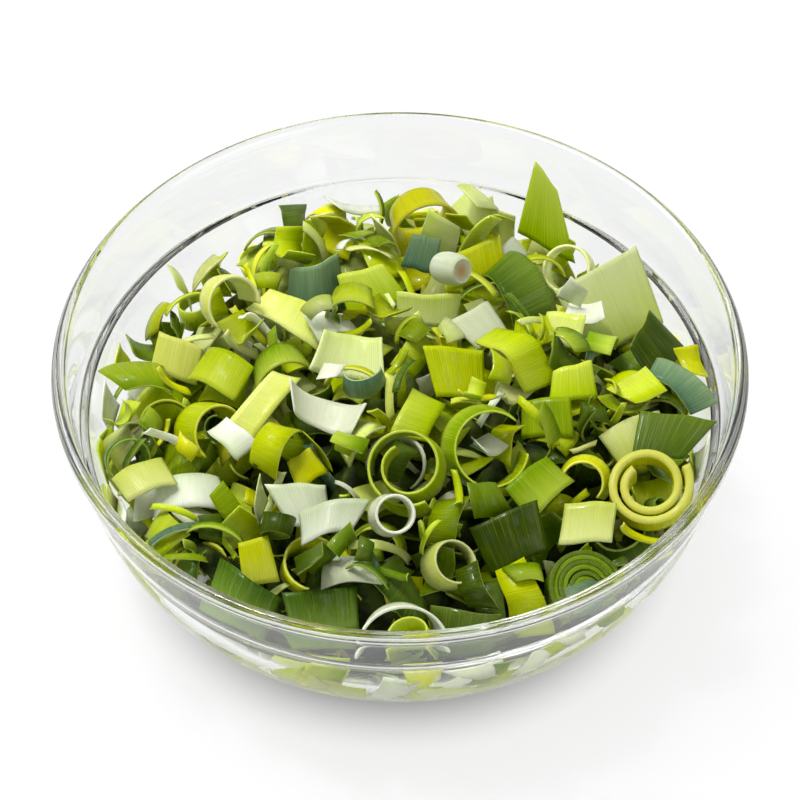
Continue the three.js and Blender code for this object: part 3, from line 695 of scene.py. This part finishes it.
# one cut of leek, as a bent blade with knife-cut ends
blade = {
    "shown": 0.62,        # share of the solid's thickness
    "skew": 0.09,         # how far off square the knife ran
    "wave": 0.25,         # mm, unevenness of a cut end
    "bow": 0.5,           # mm, bend along the leek
    "thinEdge": 0.6,      # thickness left at the side edges
    "roundEdge": 0.09,    # mm
}


def bladeGrid(cut, across, along, seed):
    draw = drawsFrom(seed)
    line = sectionLine(cut)
    u = np.linspace(0, 1, across + 1)
    fine = np.linspace(0, 1, sectionSteps + 1)
    x, z, heading = (np.interp(u, fine, line[:, k]) for k in range(3))
    ring = cut["form"] == "ring"
    v = np.linspace(0, 1, along + 1)
    skews = [draw(-blade["skew"], blade["skew"]) for _ in range(2)]
    phase = [draw(0, 6.28) for _ in range(2)]
    count = 2 if ring else draw(0.6, 1.8)
    lean = np.cos(u * 2 * math.pi) / math.pi * cut["width"] / 2 if ring else (u - 0.5) * cut["width"]
    ends = [skews[k] * lean + blade["wave"] * np.sin(u * 2 * math.pi * count + phase[k]) for k in range(2)]
    y = (v[None, :] - 0.5) * cut["length"] + ends[0][:, None] * (1 - v) + ends[1][:, None] * v
    thick = np.full(across + 1, cut.get("thick", tones[cut["tone"]]["thick"] * blade["shown"]))
    if not ring and cut["form"] != "roll":
        near = np.clip(np.minimum(u, 1 - u) * cut["width"] / 2.2, 0, 1)
        thick *= blade["thinEdge"] + (1 - blade["thinEdge"]) * near * (2 - near)
    bow = draw(-blade["bow"], blade["bow"]) * (4 * (v - 0.5) ** 2 - 0.4)
    normal = np.stack([np.sin(heading), np.cos(heading)], 1)
    grids = []
    for side in (0.5, -0.5):
        off = side * thick[:, None] + bow[None, :]
        grid = np.stack([x[:, None] + normal[:, :1] * off, y, z[:, None] + normal[:, 1:] * off], 2)
        grids.append(offSquare(cut, grid))
    return grids[0], grids[1], u, v


def addBlade(bm, cut, across, along, seed):
    ring = cut["form"] == "ring"
    outer, inner, u, v = bladeGrid(cut, across, along, seed)
    skin = bm.faces.layers.float.get("skin") or bm.faces.layers.float.new("skin")
    uv = bm.loops.layers.uv.get("cutUV") or bm.loops.layers.uv.new("cutUV")
    reach = bm.verts.layers.float.get("along") or bm.verts.layers.float.new("along")
    cols = across if ring else across + 1
    made = []
    for grid in (outer, inner):
        rows = []
        for i in range(cols):
            row = [bm.verts.new(p) for p in grid[i]]
            for j, vert in enumerate(row):
                vert[reach] = v[j]
            rows.append(row)
        made.append(rows)

    def face(corners, kind):
        f = bm.faces.new([made[s][i % cols][j] for s, i, j in corners])
        f[skin] = kind
        f.smooth = True
        for loop, (s, i, j) in zip(f.loops, corners):
            loop[uv].uv = (u[i] * cut["width"] + seed % 97, v[j] * cut["length"] + 0.5 * s)

    for i in range(across):
        for j in range(along):
            face([(0, i, j), (0, i + 1, j), (0, i + 1, j + 1), (0, i, j + 1)], 0)
            face([(1, i, j), (1, i, j + 1), (1, i + 1, j + 1), (1, i + 1, j)], 1)
        face([(0, i, along), (0, i + 1, along), (1, i + 1, along), (1, i, along)], cut.get("end", 2))
        face([(0, i + 1, 0), (0, i, 0), (1, i, 0), (1, i + 1, 0)], cut.get("end", 2))
    if not ring:
        for j in range(along):
            face([(0, 0, j), (0, 0, j + 1), (1, 0, j + 1), (1, 0, j)], 2)
            face([(0, across, j + 1), (0, across, j), (1, across, j), (1, across, j + 1)], 2)


def softenedMesh(name, bm, turn=np.eye(3), place=np.zeros(3)):
    sharp = [e for e in bm.edges if len(e.link_faces) == 2 and e.calc_face_angle(0) > 0.9]
    bmesh.ops.bevel(bm, geom=sharp, offset=blade["roundEdge"], segments=1, affect="EDGES", clamp_overlap=True)
    bmesh.ops.transform(bm, matrix=Matrix(turn.tolist()).to_4x4(), verts=bm.verts)
    bmesh.ops.translate(bm, vec=place, verts=bm.verts)
    bmesh.ops.scale(bm, vec=(mm, mm, mm), verts=bm.verts)
    bmesh.ops.recalc_face_normals(bm, faces=bm.faces)
    mesh = bpy.data.meshes.new(name)
    bm.to_mesh(mesh)
    bm.free()
    mesh.shade_smooth()
    return mesh


def setSeed(mesh, value):
    seeds = mesh.attributes.new("cutSeed", "FLOAT", "POINT")
    seeds.data.foreach_set("value", np.full(len(mesh.vertices), value, np.float32))


# leek skin: veins along the leek, pale cut edges, one end paler
skinLook = {
    "veinSpacing": 0.8,   # mm
    "veinDark": 0.2,
    "veinColour": (0.05, 0.11, 0.01, 1),
    "fibreColour": (0.03, 0.07, 0.006, 1),
    "tip": "#d2a878",     # of the heart
    "paleEnd": 1.0,
    "mottle": 0.22,
    "spread": 0.26,       # how much one cut differs from the next in brightness
    "hue": 0.03,          # and in hue
    "wet": 0.45,          # strength of the wet patches
    "streak": 0.22,       # strength of the pale fibres
    "saturation": 1.05,
}


def skinGroup():
    tree = bpy.data.node_groups.new("leekSkin", "ShaderNodeTree")
    for name in ("Skin", "Inner", "Edge"):
        tree.interface.new_socket(name, in_out="INPUT", socket_type="NodeSocketColor")
    for name in ("Vein Dark", "Pale End"):
        tree.interface.new_socket(name, in_out="INPUT", socket_type="NodeSocketFloat")
    tree.interface.new_socket("Color", in_out="OUTPUT", socket_type="NodeSocketColor")
    for name in ("Roughness", "Height", "Wet"):
        tree.interface.new_socket(name, in_out="OUTPUT", socket_type="NodeSocketFloat")
    nodes, links = tree.nodes, tree.links
    given = nodes.new("NodeGroupInput")
    out = nodes.new("NodeGroupOutput")

    def maths(kind, a, b=None, clamp=False):
        node = nodes.new("ShaderNodeMath")
        node.operation = kind
        node.use_clamp = clamp
        for k, value in enumerate((a, b)):
            if value is None:
                continue
            if isinstance(value, (int, float)):
                node.inputs[k].default_value = value
            else:
                links.new(value, node.inputs[k])
        return node.outputs[0]

    def blend(factor, a, b):
        node = nodes.new("ShaderNodeMix")
        node.data_type = "RGBA"
        links.new(factor, node.inputs["Factor"])
        for k, value in ((6, a), (7, b)):
            if isinstance(value, tuple):
                node.inputs[k].default_value = value
            else:
                links.new(value, node.inputs[k])
        return node.outputs[2]

    def attribute(name):
        node = nodes.new("ShaderNodeAttribute")
        node.attribute_name = name
        return node.outputs["Fac"]

    def noiseAt(vector, scale, detail):
        node = nodes.new("ShaderNodeTexNoise")
        setInputs(node, {"Scale": scale, "Detail": detail})
        links.new(vector, node.inputs["Vector"])
        return node.outputs["Fac"]

    def stretched(vector, scale):
        node = nodes.new("ShaderNodeMapping")
        node.inputs["Scale"].default_value = scale
        links.new(vector, node.inputs["Vector"])
        return node.outputs[0]

    cutMap = nodes.new("ShaderNodeUVMap")
    cutMap.uv_map = "cutUV"
    seed = attribute("cutSeed")
    skin = attribute("skin")
    along = attribute("along")
    # one random value after another from the seed
    chance = [maths("FRACT", maths("MULTIPLY", seed, k)) for k in (13.17, 31.73, 71.29)]

    fibre = noiseAt(stretched(cutMap.outputs[0], (1.6, 0.07, 1)), 1.0, 3)
    split = nodes.new("ShaderNodeSeparateXYZ")
    links.new(cutMap.outputs[0], split.inputs[0])
    turns = maths("MULTIPLY", split.outputs["X"], 2 * math.pi / skinLook["veinSpacing"])
    vein = maths("SINE", maths("ADD", turns, maths("MULTIPLY", fibre, 7.0)))
    vein = maths("MULTIPLY", maths("ADD", vein, 1.0), 0.5)
    patch = noiseAt(stretched(cutMap.outputs[0], (0.14, 0.09, 1)), 1.0, 2)
    streak = noiseAt(stretched(cutMap.outputs[0], (2.2, 0.045, 1)), 1.0, 3)

    isInner = maths("COMPARE", skin, 1.0)
    isInner.node.inputs[2].default_value = 0.45
    isEdge = maths("GREATER_THAN", skin, 1.5)
    flesh = blend(isInner, given.outputs["Skin"], given.outputs["Inner"])
    # one end of a cut is nearer the white shaft
    end = maths("ABSOLUTE", maths("SUBTRACT", along, maths("ROUND", chance[0])))
    pale = maths("MULTIPLY", maths("MULTIPLY", end, chance[1]), given.outputs["Pale End"], clamp=True)
    flesh = blend(pale, flesh, given.outputs["Edge"])
    patchy = maths("MULTIPLY", maths("SUBTRACT", patch, 0.42), skinLook["mottle"] * 4, clamp=True)
    flesh = blend(patchy, flesh, given.outputs["Inner"])
    depth = maths("MULTIPLY", given.outputs["Vein Dark"], 2.0)
    lines = maths("MULTIPLY", maths("MULTIPLY", vein, fibre), depth, clamp=True)
    flesh = blend(lines, flesh, skinLook["veinColour"])
    # irregular fibres, some paler and some darker than the skin
    paler = maths("MULTIPLY", maths("SUBTRACT", streak, 0.52), 5.0, clamp=True)
    darker = maths("MULTIPLY", maths("SUBTRACT", 0.47, streak), 5.0, clamp=True)
    flesh = blend(maths("MULTIPLY", paler, skinLook["streak"]), flesh, given.outputs["Edge"])
    flesh = blend(maths("MULTIPLY", darker, given.outputs["Vein Dark"]), flesh, skinLook["fibreColour"])
    flesh = blend(maths("MULTIPLY", isEdge, 0.75), flesh, given.outputs["Edge"])
    flesh = blend(attribute("tip"), flesh, (*srgb(skinLook["tip"]), 1))
    tune = nodes.new("ShaderNodeHueSaturation")
    links.new(flesh, tune.inputs["Color"])
    tune.inputs["Saturation"].default_value = skinLook["saturation"]
    swings = {"Value": (2, 2 * skinLook["spread"], 1.0), "Hue": (1, skinLook["hue"], 0.5)}
    for socket, (pick, spread, middle) in swings.items():
        swing = maths("MULTIPLY", maths("SUBTRACT", chance[pick], 0.5), spread)
        links.new(maths("ADD", swing, middle), tune.inputs[socket])
    links.new(tune.outputs["Color"], out.inputs["Color"])
    wet = noiseAt(stretched(cutMap.outputs[0], (0.22, 0.13, 1)), 1.0, 2)
    wet = maths("MULTIPLY", maths("SUBTRACT", wet, 0.46), 6.0, clamp=True)
    links.new(wet, out.inputs["Wet"])
    links.new(maths("ADD", maths("MULTIPLY", fibre, 0.3), 0.2), out.inputs["Roughness"])
    links.new(maths("ADD", vein, maths("MULTIPLY", streak, 3.0)), out.inputs["Height"])
    return tree


def leekMaterial(name, group):
    tone = tones[name]
    mat, nodes, links, flesh = newMaterial("leek_" + name)
    skin = nodes.new("ShaderNodeGroup")
    skin.node_tree = group
    for socket, key in (("Skin", "skin"), ("Inner", "inner"), ("Edge", "edge")):
        skin.inputs[socket].default_value = (*srgb(tone[key]), 1)
    setInputs(skin, {
        "Vein Dark": skinLook["veinDark"] * tone.get("veins", 1),
        "Pale End": skinLook["paleEnd"] * tone.get("paleEnd", 1),
    })
    bump = nodes.new("ShaderNodeBump")
    setInputs(bump, {"Strength": 0.35, "Distance": 0.00012})
    links.new(skin.outputs["Color"], flesh.inputs["Base Color"])
    links.new(skin.outputs["Roughness"], flesh.inputs["Roughness"])
    links.new(skin.outputs["Height"], bump.inputs["Height"])
    links.new(bump.outputs["Normal"], flesh.inputs["Normal"])
    setInputs(flesh, {
        "Subsurface Weight": 0.25, "Subsurface Radius": (0.7, 1.0, 0.25), "Subsurface Scale": 0.0016,
        "Specular IOR Level": 0.08, "Coat Roughness": 0.08,
    })
    wet = nodes.new("ShaderNodeMath")
    wet.operation = "MULTIPLY"
    wet.inputs[1].default_value = skinLook["wet"]
    links.new(skin.outputs["Wet"], wet.inputs[0])
    links.new(wet.outputs[0], flesh.inputs["Coat Weight"])
    return mat


topLook = {
    "across": 1.1,        # mm between the points of a cut
    "along": 2.0,
    "layerAcross": 1.4,
    "fewest": (14, 4),    # steps across and along
    "seed": 911,
    "seedStep": 613,
    "heartSides": 28,
    "heartRings": 6,      # sheaths on the cut end of the heart
    "tan": (0.62, 0.45),  # share of the heart's radius where the tan sets in, and how soon it is full
}
heartProfile = [(0, -0.5), (0.7, -0.47), (0.95, -0.25), (1, 0.05), (0.9, 0.42), (0.72, 0.5)]


def addTopCut(cut, rank, materials):
    bm = bmesh.new()
    across = max(topLook["fewest"][0], math.ceil(cut["width"] / topLook["across"]))
    along = max(topLook["fewest"][1], math.ceil(cut["length"] / topLook["along"]))
    seed = topLook["seed"] + topLook["seedStep"] * rank
    if cut["form"] == "stack":
        addLayers(bm, cut, along, seed)
    elif cut["form"] == "heart":
        addHeart(bm, cut)
    else:
        addBlade(bm, cut, across, along, seed)
    mesh = softenedMesh(cut["name"], bm, cut["turn"], cut["place"])
    setSeed(mesh, (rank * golden) % 1)
    mesh.materials.append(materials[cut["tone"]])
    addPiece(cut["name"] + "_leek", mesh, cut["name"])


def addHeart(bm, cut):
    # the inside of a leek, cut across: thin sheaths round a tan middle
    outside = roundedCorners(np.array(heartProfile), 2)
    rings = np.linspace(outside[-1, 0], 0, 2 * topLook["heartRings"] + 1)[1:]
    dish = 0.46 + 0.05 * rings - 0.025 * (np.arange(len(rings)) % 2)
    line = np.vstack([outside, np.stack([rings, dish], 1)])
    radius = cut["width"] / (2 * math.pi)
    sides = topLook["heartSides"]
    tanFrom, tanOver = topLook["tan"]
    tip = bm.verts.layers.float.new("tip")
    reach = bm.verts.layers.float.new("along")
    uv = bm.loops.layers.uv.new("cutUV")
    rows = []
    for row, (across, share) in enumerate(line):
        tan = np.clip((tanFrom - across) / tanOver, 0, 1) if row >= len(outside) else 0
        ring = []
        for k in range(sides if across > 0 else 1):
            angle = 2 * math.pi * k / sides
            x, z = across * radius * math.sin(angle), across * radius * math.cos(angle)
            vert = bm.verts.new((x, share * cut["length"], z))
            vert[tip] = tan
            vert[reach] = share + 0.5
            ring.append(vert)
        rows.append(ring)
    for row, k, face in ringFaces(bm, rows, sides):
        for loop in face.loops:
            loop[uv].uv = (k / sides * cut["width"], line[row, 1] * cut["length"])


def addLayers(bm, cut, along, seed):
    # sheaths that still lie in each other, every other one a little short
    bend = math.radians(cut["bend"])
    crown = sectionLine(cut)[:, 1].max()
    for i in range(stackLayers):
        width, length = cut["width"] - i * stackPitch * bend, cut["length"] - (i % 2) * 0.7
        layer = {**cut, "form": "band", "width": width, "length": length}
        layer.update({"thick": stackPitch - 0.25, "end": i % 2})
        before = len(bm.verts)
        across = max(topLook["fewest"][0], math.ceil(width / topLook["layerAcross"]))
        addBlade(bm, layer, across, along, seed + i)
        drop = crown - cut["width"] / bend - (sectionLine(layer)[:, 1].max() - width / bend)
        bm.verts.ensure_lookup_table()
        bmesh.ops.translate(bm, vec=(0, 0, drop), verts=bm.verts[before:])


# the cuts between and under them, as instances of a few kinds
fillLook = {"across": 2.4, "fewest": 8, "along": 2, "seed": 71}


def fillKinds():
    kinds = bpy.data.collections.new("fillKinds")
    for n in range(len(fillCuts)):
        cut = fillCut(n, "lime", 1)
        bm = bmesh.new()
        across = max(fillLook["fewest"], math.ceil(cut["width"] / fillLook["across"]))
        addBlade(bm, cut, across, fillLook["along"], fillLook["seed"] + n)
        name = f"fillKind{n:02d}"  # the tree picks by the order of these names
        kinds.objects.link(bpy.data.objects.new(name, softenedMesh(name, bm)))
    return kinds


def fillTree(kinds, materials):
    tree = bpy.data.node_groups.new("leekFill", "GeometryNodeTree")
    tree.interface.new_socket("Geometry", in_out="INPUT", socket_type="NodeSocketGeometry")
    sizeSocket = tree.interface.new_socket("Cut Size", in_out="INPUT", socket_type="NodeSocketFloat")
    tree.interface.new_socket("Geometry", in_out="OUTPUT", socket_type="NodeSocketGeometry")
    nodes, links = tree.nodes, tree.links
    given = nodes.new("NodeGroupInput")
    out = nodes.new("NodeGroupOutput")
    source = nodes.new("GeometryNodeCollectionInfo")
    setInputs(source, {"Collection": kinds, "Separate Children": True, "Reset Children": True})

    def named(name, kind):
        node = nodes.new("GeometryNodeInputNamedAttribute")
        node.data_type = kind
        node.inputs["Name"].default_value = name
        return node.outputs["Attribute"]

    scale = nodes.new("ShaderNodeMath")
    scale.operation = "MULTIPLY"
    links.new(named("size", "FLOAT"), scale.inputs[0])
    links.new(given.outputs["Cut Size"], scale.inputs[1])
    join = nodes.new("GeometryNodeJoinGeometry")
    for n, tone in enumerate(toneNames):
        chosen = nodes.new("FunctionNodeCompare")
        chosen.data_type = "INT"
        chosen.operation = "EQUAL"
        links.new(named("tone", "INT"), chosen.inputs["A"])
        chosen.inputs["B"].default_value = n
        lay = nodes.new("GeometryNodeInstanceOnPoints")
        lay.inputs["Pick Instance"].default_value = True
        links.new(given.outputs["Geometry"], lay.inputs["Points"])
        links.new(chosen.outputs["Result"], lay.inputs["Selection"])
        links.new(source.outputs[0], lay.inputs["Instance"])
        links.new(named("kind", "INT"), lay.inputs["Instance Index"])
        links.new(named("turn", "QUATERNION"), lay.inputs["Rotation"])
        links.new(scale.outputs[0], lay.inputs["Scale"])
        real = nodes.new("GeometryNodeRealizeInstances")
        links.new(lay.outputs["Instances"], real.inputs["Geometry"])
        paint = nodes.new("GeometryNodeSetMaterial")
        paint.inputs["Material"].default_value = materials[tone]
        links.new(real.outputs["Geometry"], paint.inputs["Geometry"])
        links.new(paint.outputs["Geometry"], join.inputs["Geometry"])
    links.new(join.outputs["Geometry"], out.inputs[0])
    return tree, sizeSocket.identifier


# cuts that lie against the glass: the wet ones at the front touch it without a gap of air
pressed = {
    "seed": 6151,
    "count": 380,
    "kinds": (3, 4, 5, 8),    # rows of fillCuts
    "from": 0.45,             # shares of the way up the inner wall
    "to": 0.97,
    "below": 7.0,             # mm under the edge of the fill
    "lean": 3,                # degrees
    "wetSide": -0.25,         # sine of the angle up to which a cut clings to the glass, which is the front
    "wetGap": -0.4,
    "dryGap": 0.6,
    "tones": [("white", 0.28), ("pale", 0.3), ("yellow", 0.14), ("lime", 0.2), ("mid", 0.08)],
}


def pressedCuts():
    draw = drawsFrom(pressed["seed"])
    wall = insideProfile(bowl["curveSteps"])
    wall = wall[wall[:, 1] < ledge]
    reach = np.concatenate([[0], np.cumsum(np.hypot(*np.diff(wall, axis=0).T))])
    made = []
    for _ in range(pressed["count"]):
        at = reach[-1] * draw(pressed["from"], pressed["to"])
        radius, height = (np.interp(at, reach, side) for side in wall.T)
        further, higher = (np.interp(at + 1, reach, side) for side in wall.T)
        tilt = math.atan2(higher - height, further - radius)
        angle = draw(0, 2 * math.pi)
        away = math.hypot(radius * math.cos(angle) - heap["x"], radius * math.sin(angle) - heap["y"])
        if height > fillTop(away) - pressed["below"]:
            continue
        kind = pressed["kinds"][int(draw(0, len(pressed["kinds"])))]
        tone = pickByShare(pressed["tones"], lambda row: row[1], draw(0, 1))[0]
        cut = fillCut(kind, tone, draw(*fillSizes))
        lean = turnOf(draw(0, 360), draw(-pressed["lean"], pressed["lean"]), 0)
        turn = turnOf(math.degrees(angle), 0, 180 - math.degrees(tilt)) @ lean
        facing = np.array([math.cos(angle), math.sin(angle), 0])
        outward = math.sin(tilt) * facing - (0, 0, math.cos(tilt))
        gap = pressed["wetGap"] if math.sin(angle) < pressed["wetSide"] else pressed["dryGap"]
        stand = (samplesOf(cut) @ turn.T @ outward).max() + gap
        place = radius * facing + (0, 0, height) - outward * stand
        made.append({**cut, "turn": turn, "place": place})
    return made


# leek packed out of sight, which the gaps show; its colour is painted shade, a dark sheet that darkens the
# gaps between the cuts
shadedCore = {
    "depth": 11.0,        # below the cuts that lie on it
    "edge": 48.0,         # height of its edge
    "wallGap": 5.0,
    "sides": 64,
    "rings": 16,
    "window": 3,
    # painted shade: near black at the front of the heap, paler at the back
    "front": ("#1a2406", "#445414"),
    "back": ("#5c6c1c", "#aab458"),
    "blend": (-0.02, 0.07),  # metres along Y from the front colours to the back ones
}


def addShadedCore(laid):
    ground = HeightMap()
    for cut in laid:
        ground.lay(cut)
    wall = insideProfile(bowl["insideSteps"])
    inset = shadedCore["wallGap"] + math.hypot(heap["x"], heap["y"])
    side = wall[wall[:, 1] < shadedCore["edge"]] + (-inset, shadedCore["wallGap"])
    side[:, 0] = np.maximum(side[:, 0], 0)
    rings = np.linspace(side[-1, 0], 0, shadedCore["rings"] + 1)[1:]
    lid = bowl["height"]
    top = np.stack([rings, np.full(len(rings), lid)], 1)
    mesh = latheMesh("leekCore", np.vstack([side, top]), shadedCore["sides"])
    mesh.transform(Matrix.Translation((heap["x"] * mm, heap["y"] * mm, 0)))
    for vert in mesh.vertices:
        if vert.co.z > (lid - 1) * mm:
            level = ground.meanAround(vert.co.x / mm, vert.co.y / mm, shadedCore["window"])
            vert.co.z = (level - shadedCore["depth"]) * mm
    mesh.materials.append(paintedShadeCoreMaterial())
    addPiece("leekCore", mesh, "leek_heap")
    print("core:", len(mesh.polygons), "faces")


def paintedShadeCoreMaterial():
    mat, nodes, links, flesh = newMaterial("leekCore")
    # painted shade for the gaps: dark speckled colours, darkest at the front
    coord = nodes.new("ShaderNodeTexCoord")
    noise = nodes.new("ShaderNodeTexNoise")
    noise.inputs["Scale"].default_value = 160
    links.new(coord.outputs["Object"], noise.inputs["Vector"])
    place = nodes.new("ShaderNodeSeparateXYZ")
    links.new(coord.outputs["Object"], place.inputs[0])
    share = nodes.new("ShaderNodeMapRange")
    setInputs(share, dict(zip(("From Min", "From Max"), shadedCore["blend"])))
    links.new(place.outputs["Y"], share.inputs["Value"])
    mix = nodes.new("ShaderNodeMix")
    mix.data_type = "RGBA"
    links.new(share.outputs["Result"], mix.inputs[0])
    for socket, codes in ((6, shadedCore["front"]), (7, shadedCore["back"])):
        ramp = nodes.new("ShaderNodeValToRGB")
        for element, code, position in zip(ramp.color_ramp.elements, codes, (0.4, 0.65)):
            element.color = (*srgb(code), 1)
            element.position = position
        links.new(noise.outputs["Fac"], ramp.inputs["Fac"])
        links.new(ramp.outputs["Color"], mix.inputs[socket])
    links.new(mix.outputs[2], flesh.inputs["Base Color"])
    setInputs(flesh, {"Roughness": 0.6, "Specular IOR Level": 0.15})
    return mat


def shownTone(cut, chance):
    back = np.clip(cut["place"][1] / shownDepth + 0.5, 0, 1)
    return pickByShare(shownTones, lambda row: row[1] + (row[2] - row[1]) * back, chance)[0]


def addFill(laid, wallCuts, materials):
    shown = [shownTone(cut, (n * golden) % 1) for n, cut in enumerate(laid)]
    shown += [cut["tone"] for cut in wallCuts]
    laid = laid + wallCuts
    points = bpy.data.meshes.new("fillPlaces")
    points.from_pydata([tuple(cut["place"] * mm) for cut in laid], [], [])
    turns = [tuple(Matrix(cut["turn"].tolist()).to_quaternion()) for cut in laid]
    columns = {
        "kind": ("INT", [cut["kind"] for cut in laid]),
        "tone": ("INT", [toneNames.index(tone) for tone in shown]),
        "size": ("FLOAT", [cut["size"] for cut in laid]),
        "cutSeed": ("FLOAT", [(n * plastic) % 1 for n in range(len(laid))]),
        "turn": ("QUATERNION", turns),
    }
    for name, (kind, values) in columns.items():
        points.attributes.new(name, kind, "POINT").data.foreach_set("value", np.ravel(values))
    holder = addObject("fillPlaces", points)
    kinds = fillKinds()
    tree, sizeInput = fillTree(kinds, materials)
    modifier = holder.modifiers.new("leekFill", "NODES")
    modifier.node_group = tree
    modifier[sizeInput] = 1.0
    graph = bpy.context.evaluated_depsgraph_get()
    made = holder.evaluated_get(graph)
    mesh = bpy.data.meshes.new_from_object(made, preserve_all_data_layers=True, depsgraph=graph)
    mesh.name = "leekFill"
    holder.modifiers.remove(modifier)
    bpy.data.objects.remove(holder)
    for proto in list(kinds.objects):
        bpy.data.objects.remove(proto)
    bpy.data.collections.remove(kinds)
    addPiece("leekFill", mesh, "leek_heap")
    print("fill:", len(mesh.polygons), "faces")


addCamera()
addStudio()
addBowl()
laid, onTop = layHeap()
group = skinGroup()
materials = {name: leekMaterial(name, group) for name in tones}
addShadedCore(laid)
addFill(laid, pressedCuts(), materials)
for rank, cut in enumerate(onTop):
    addTopCut(cut, rank, materials)
print("top cuts done")
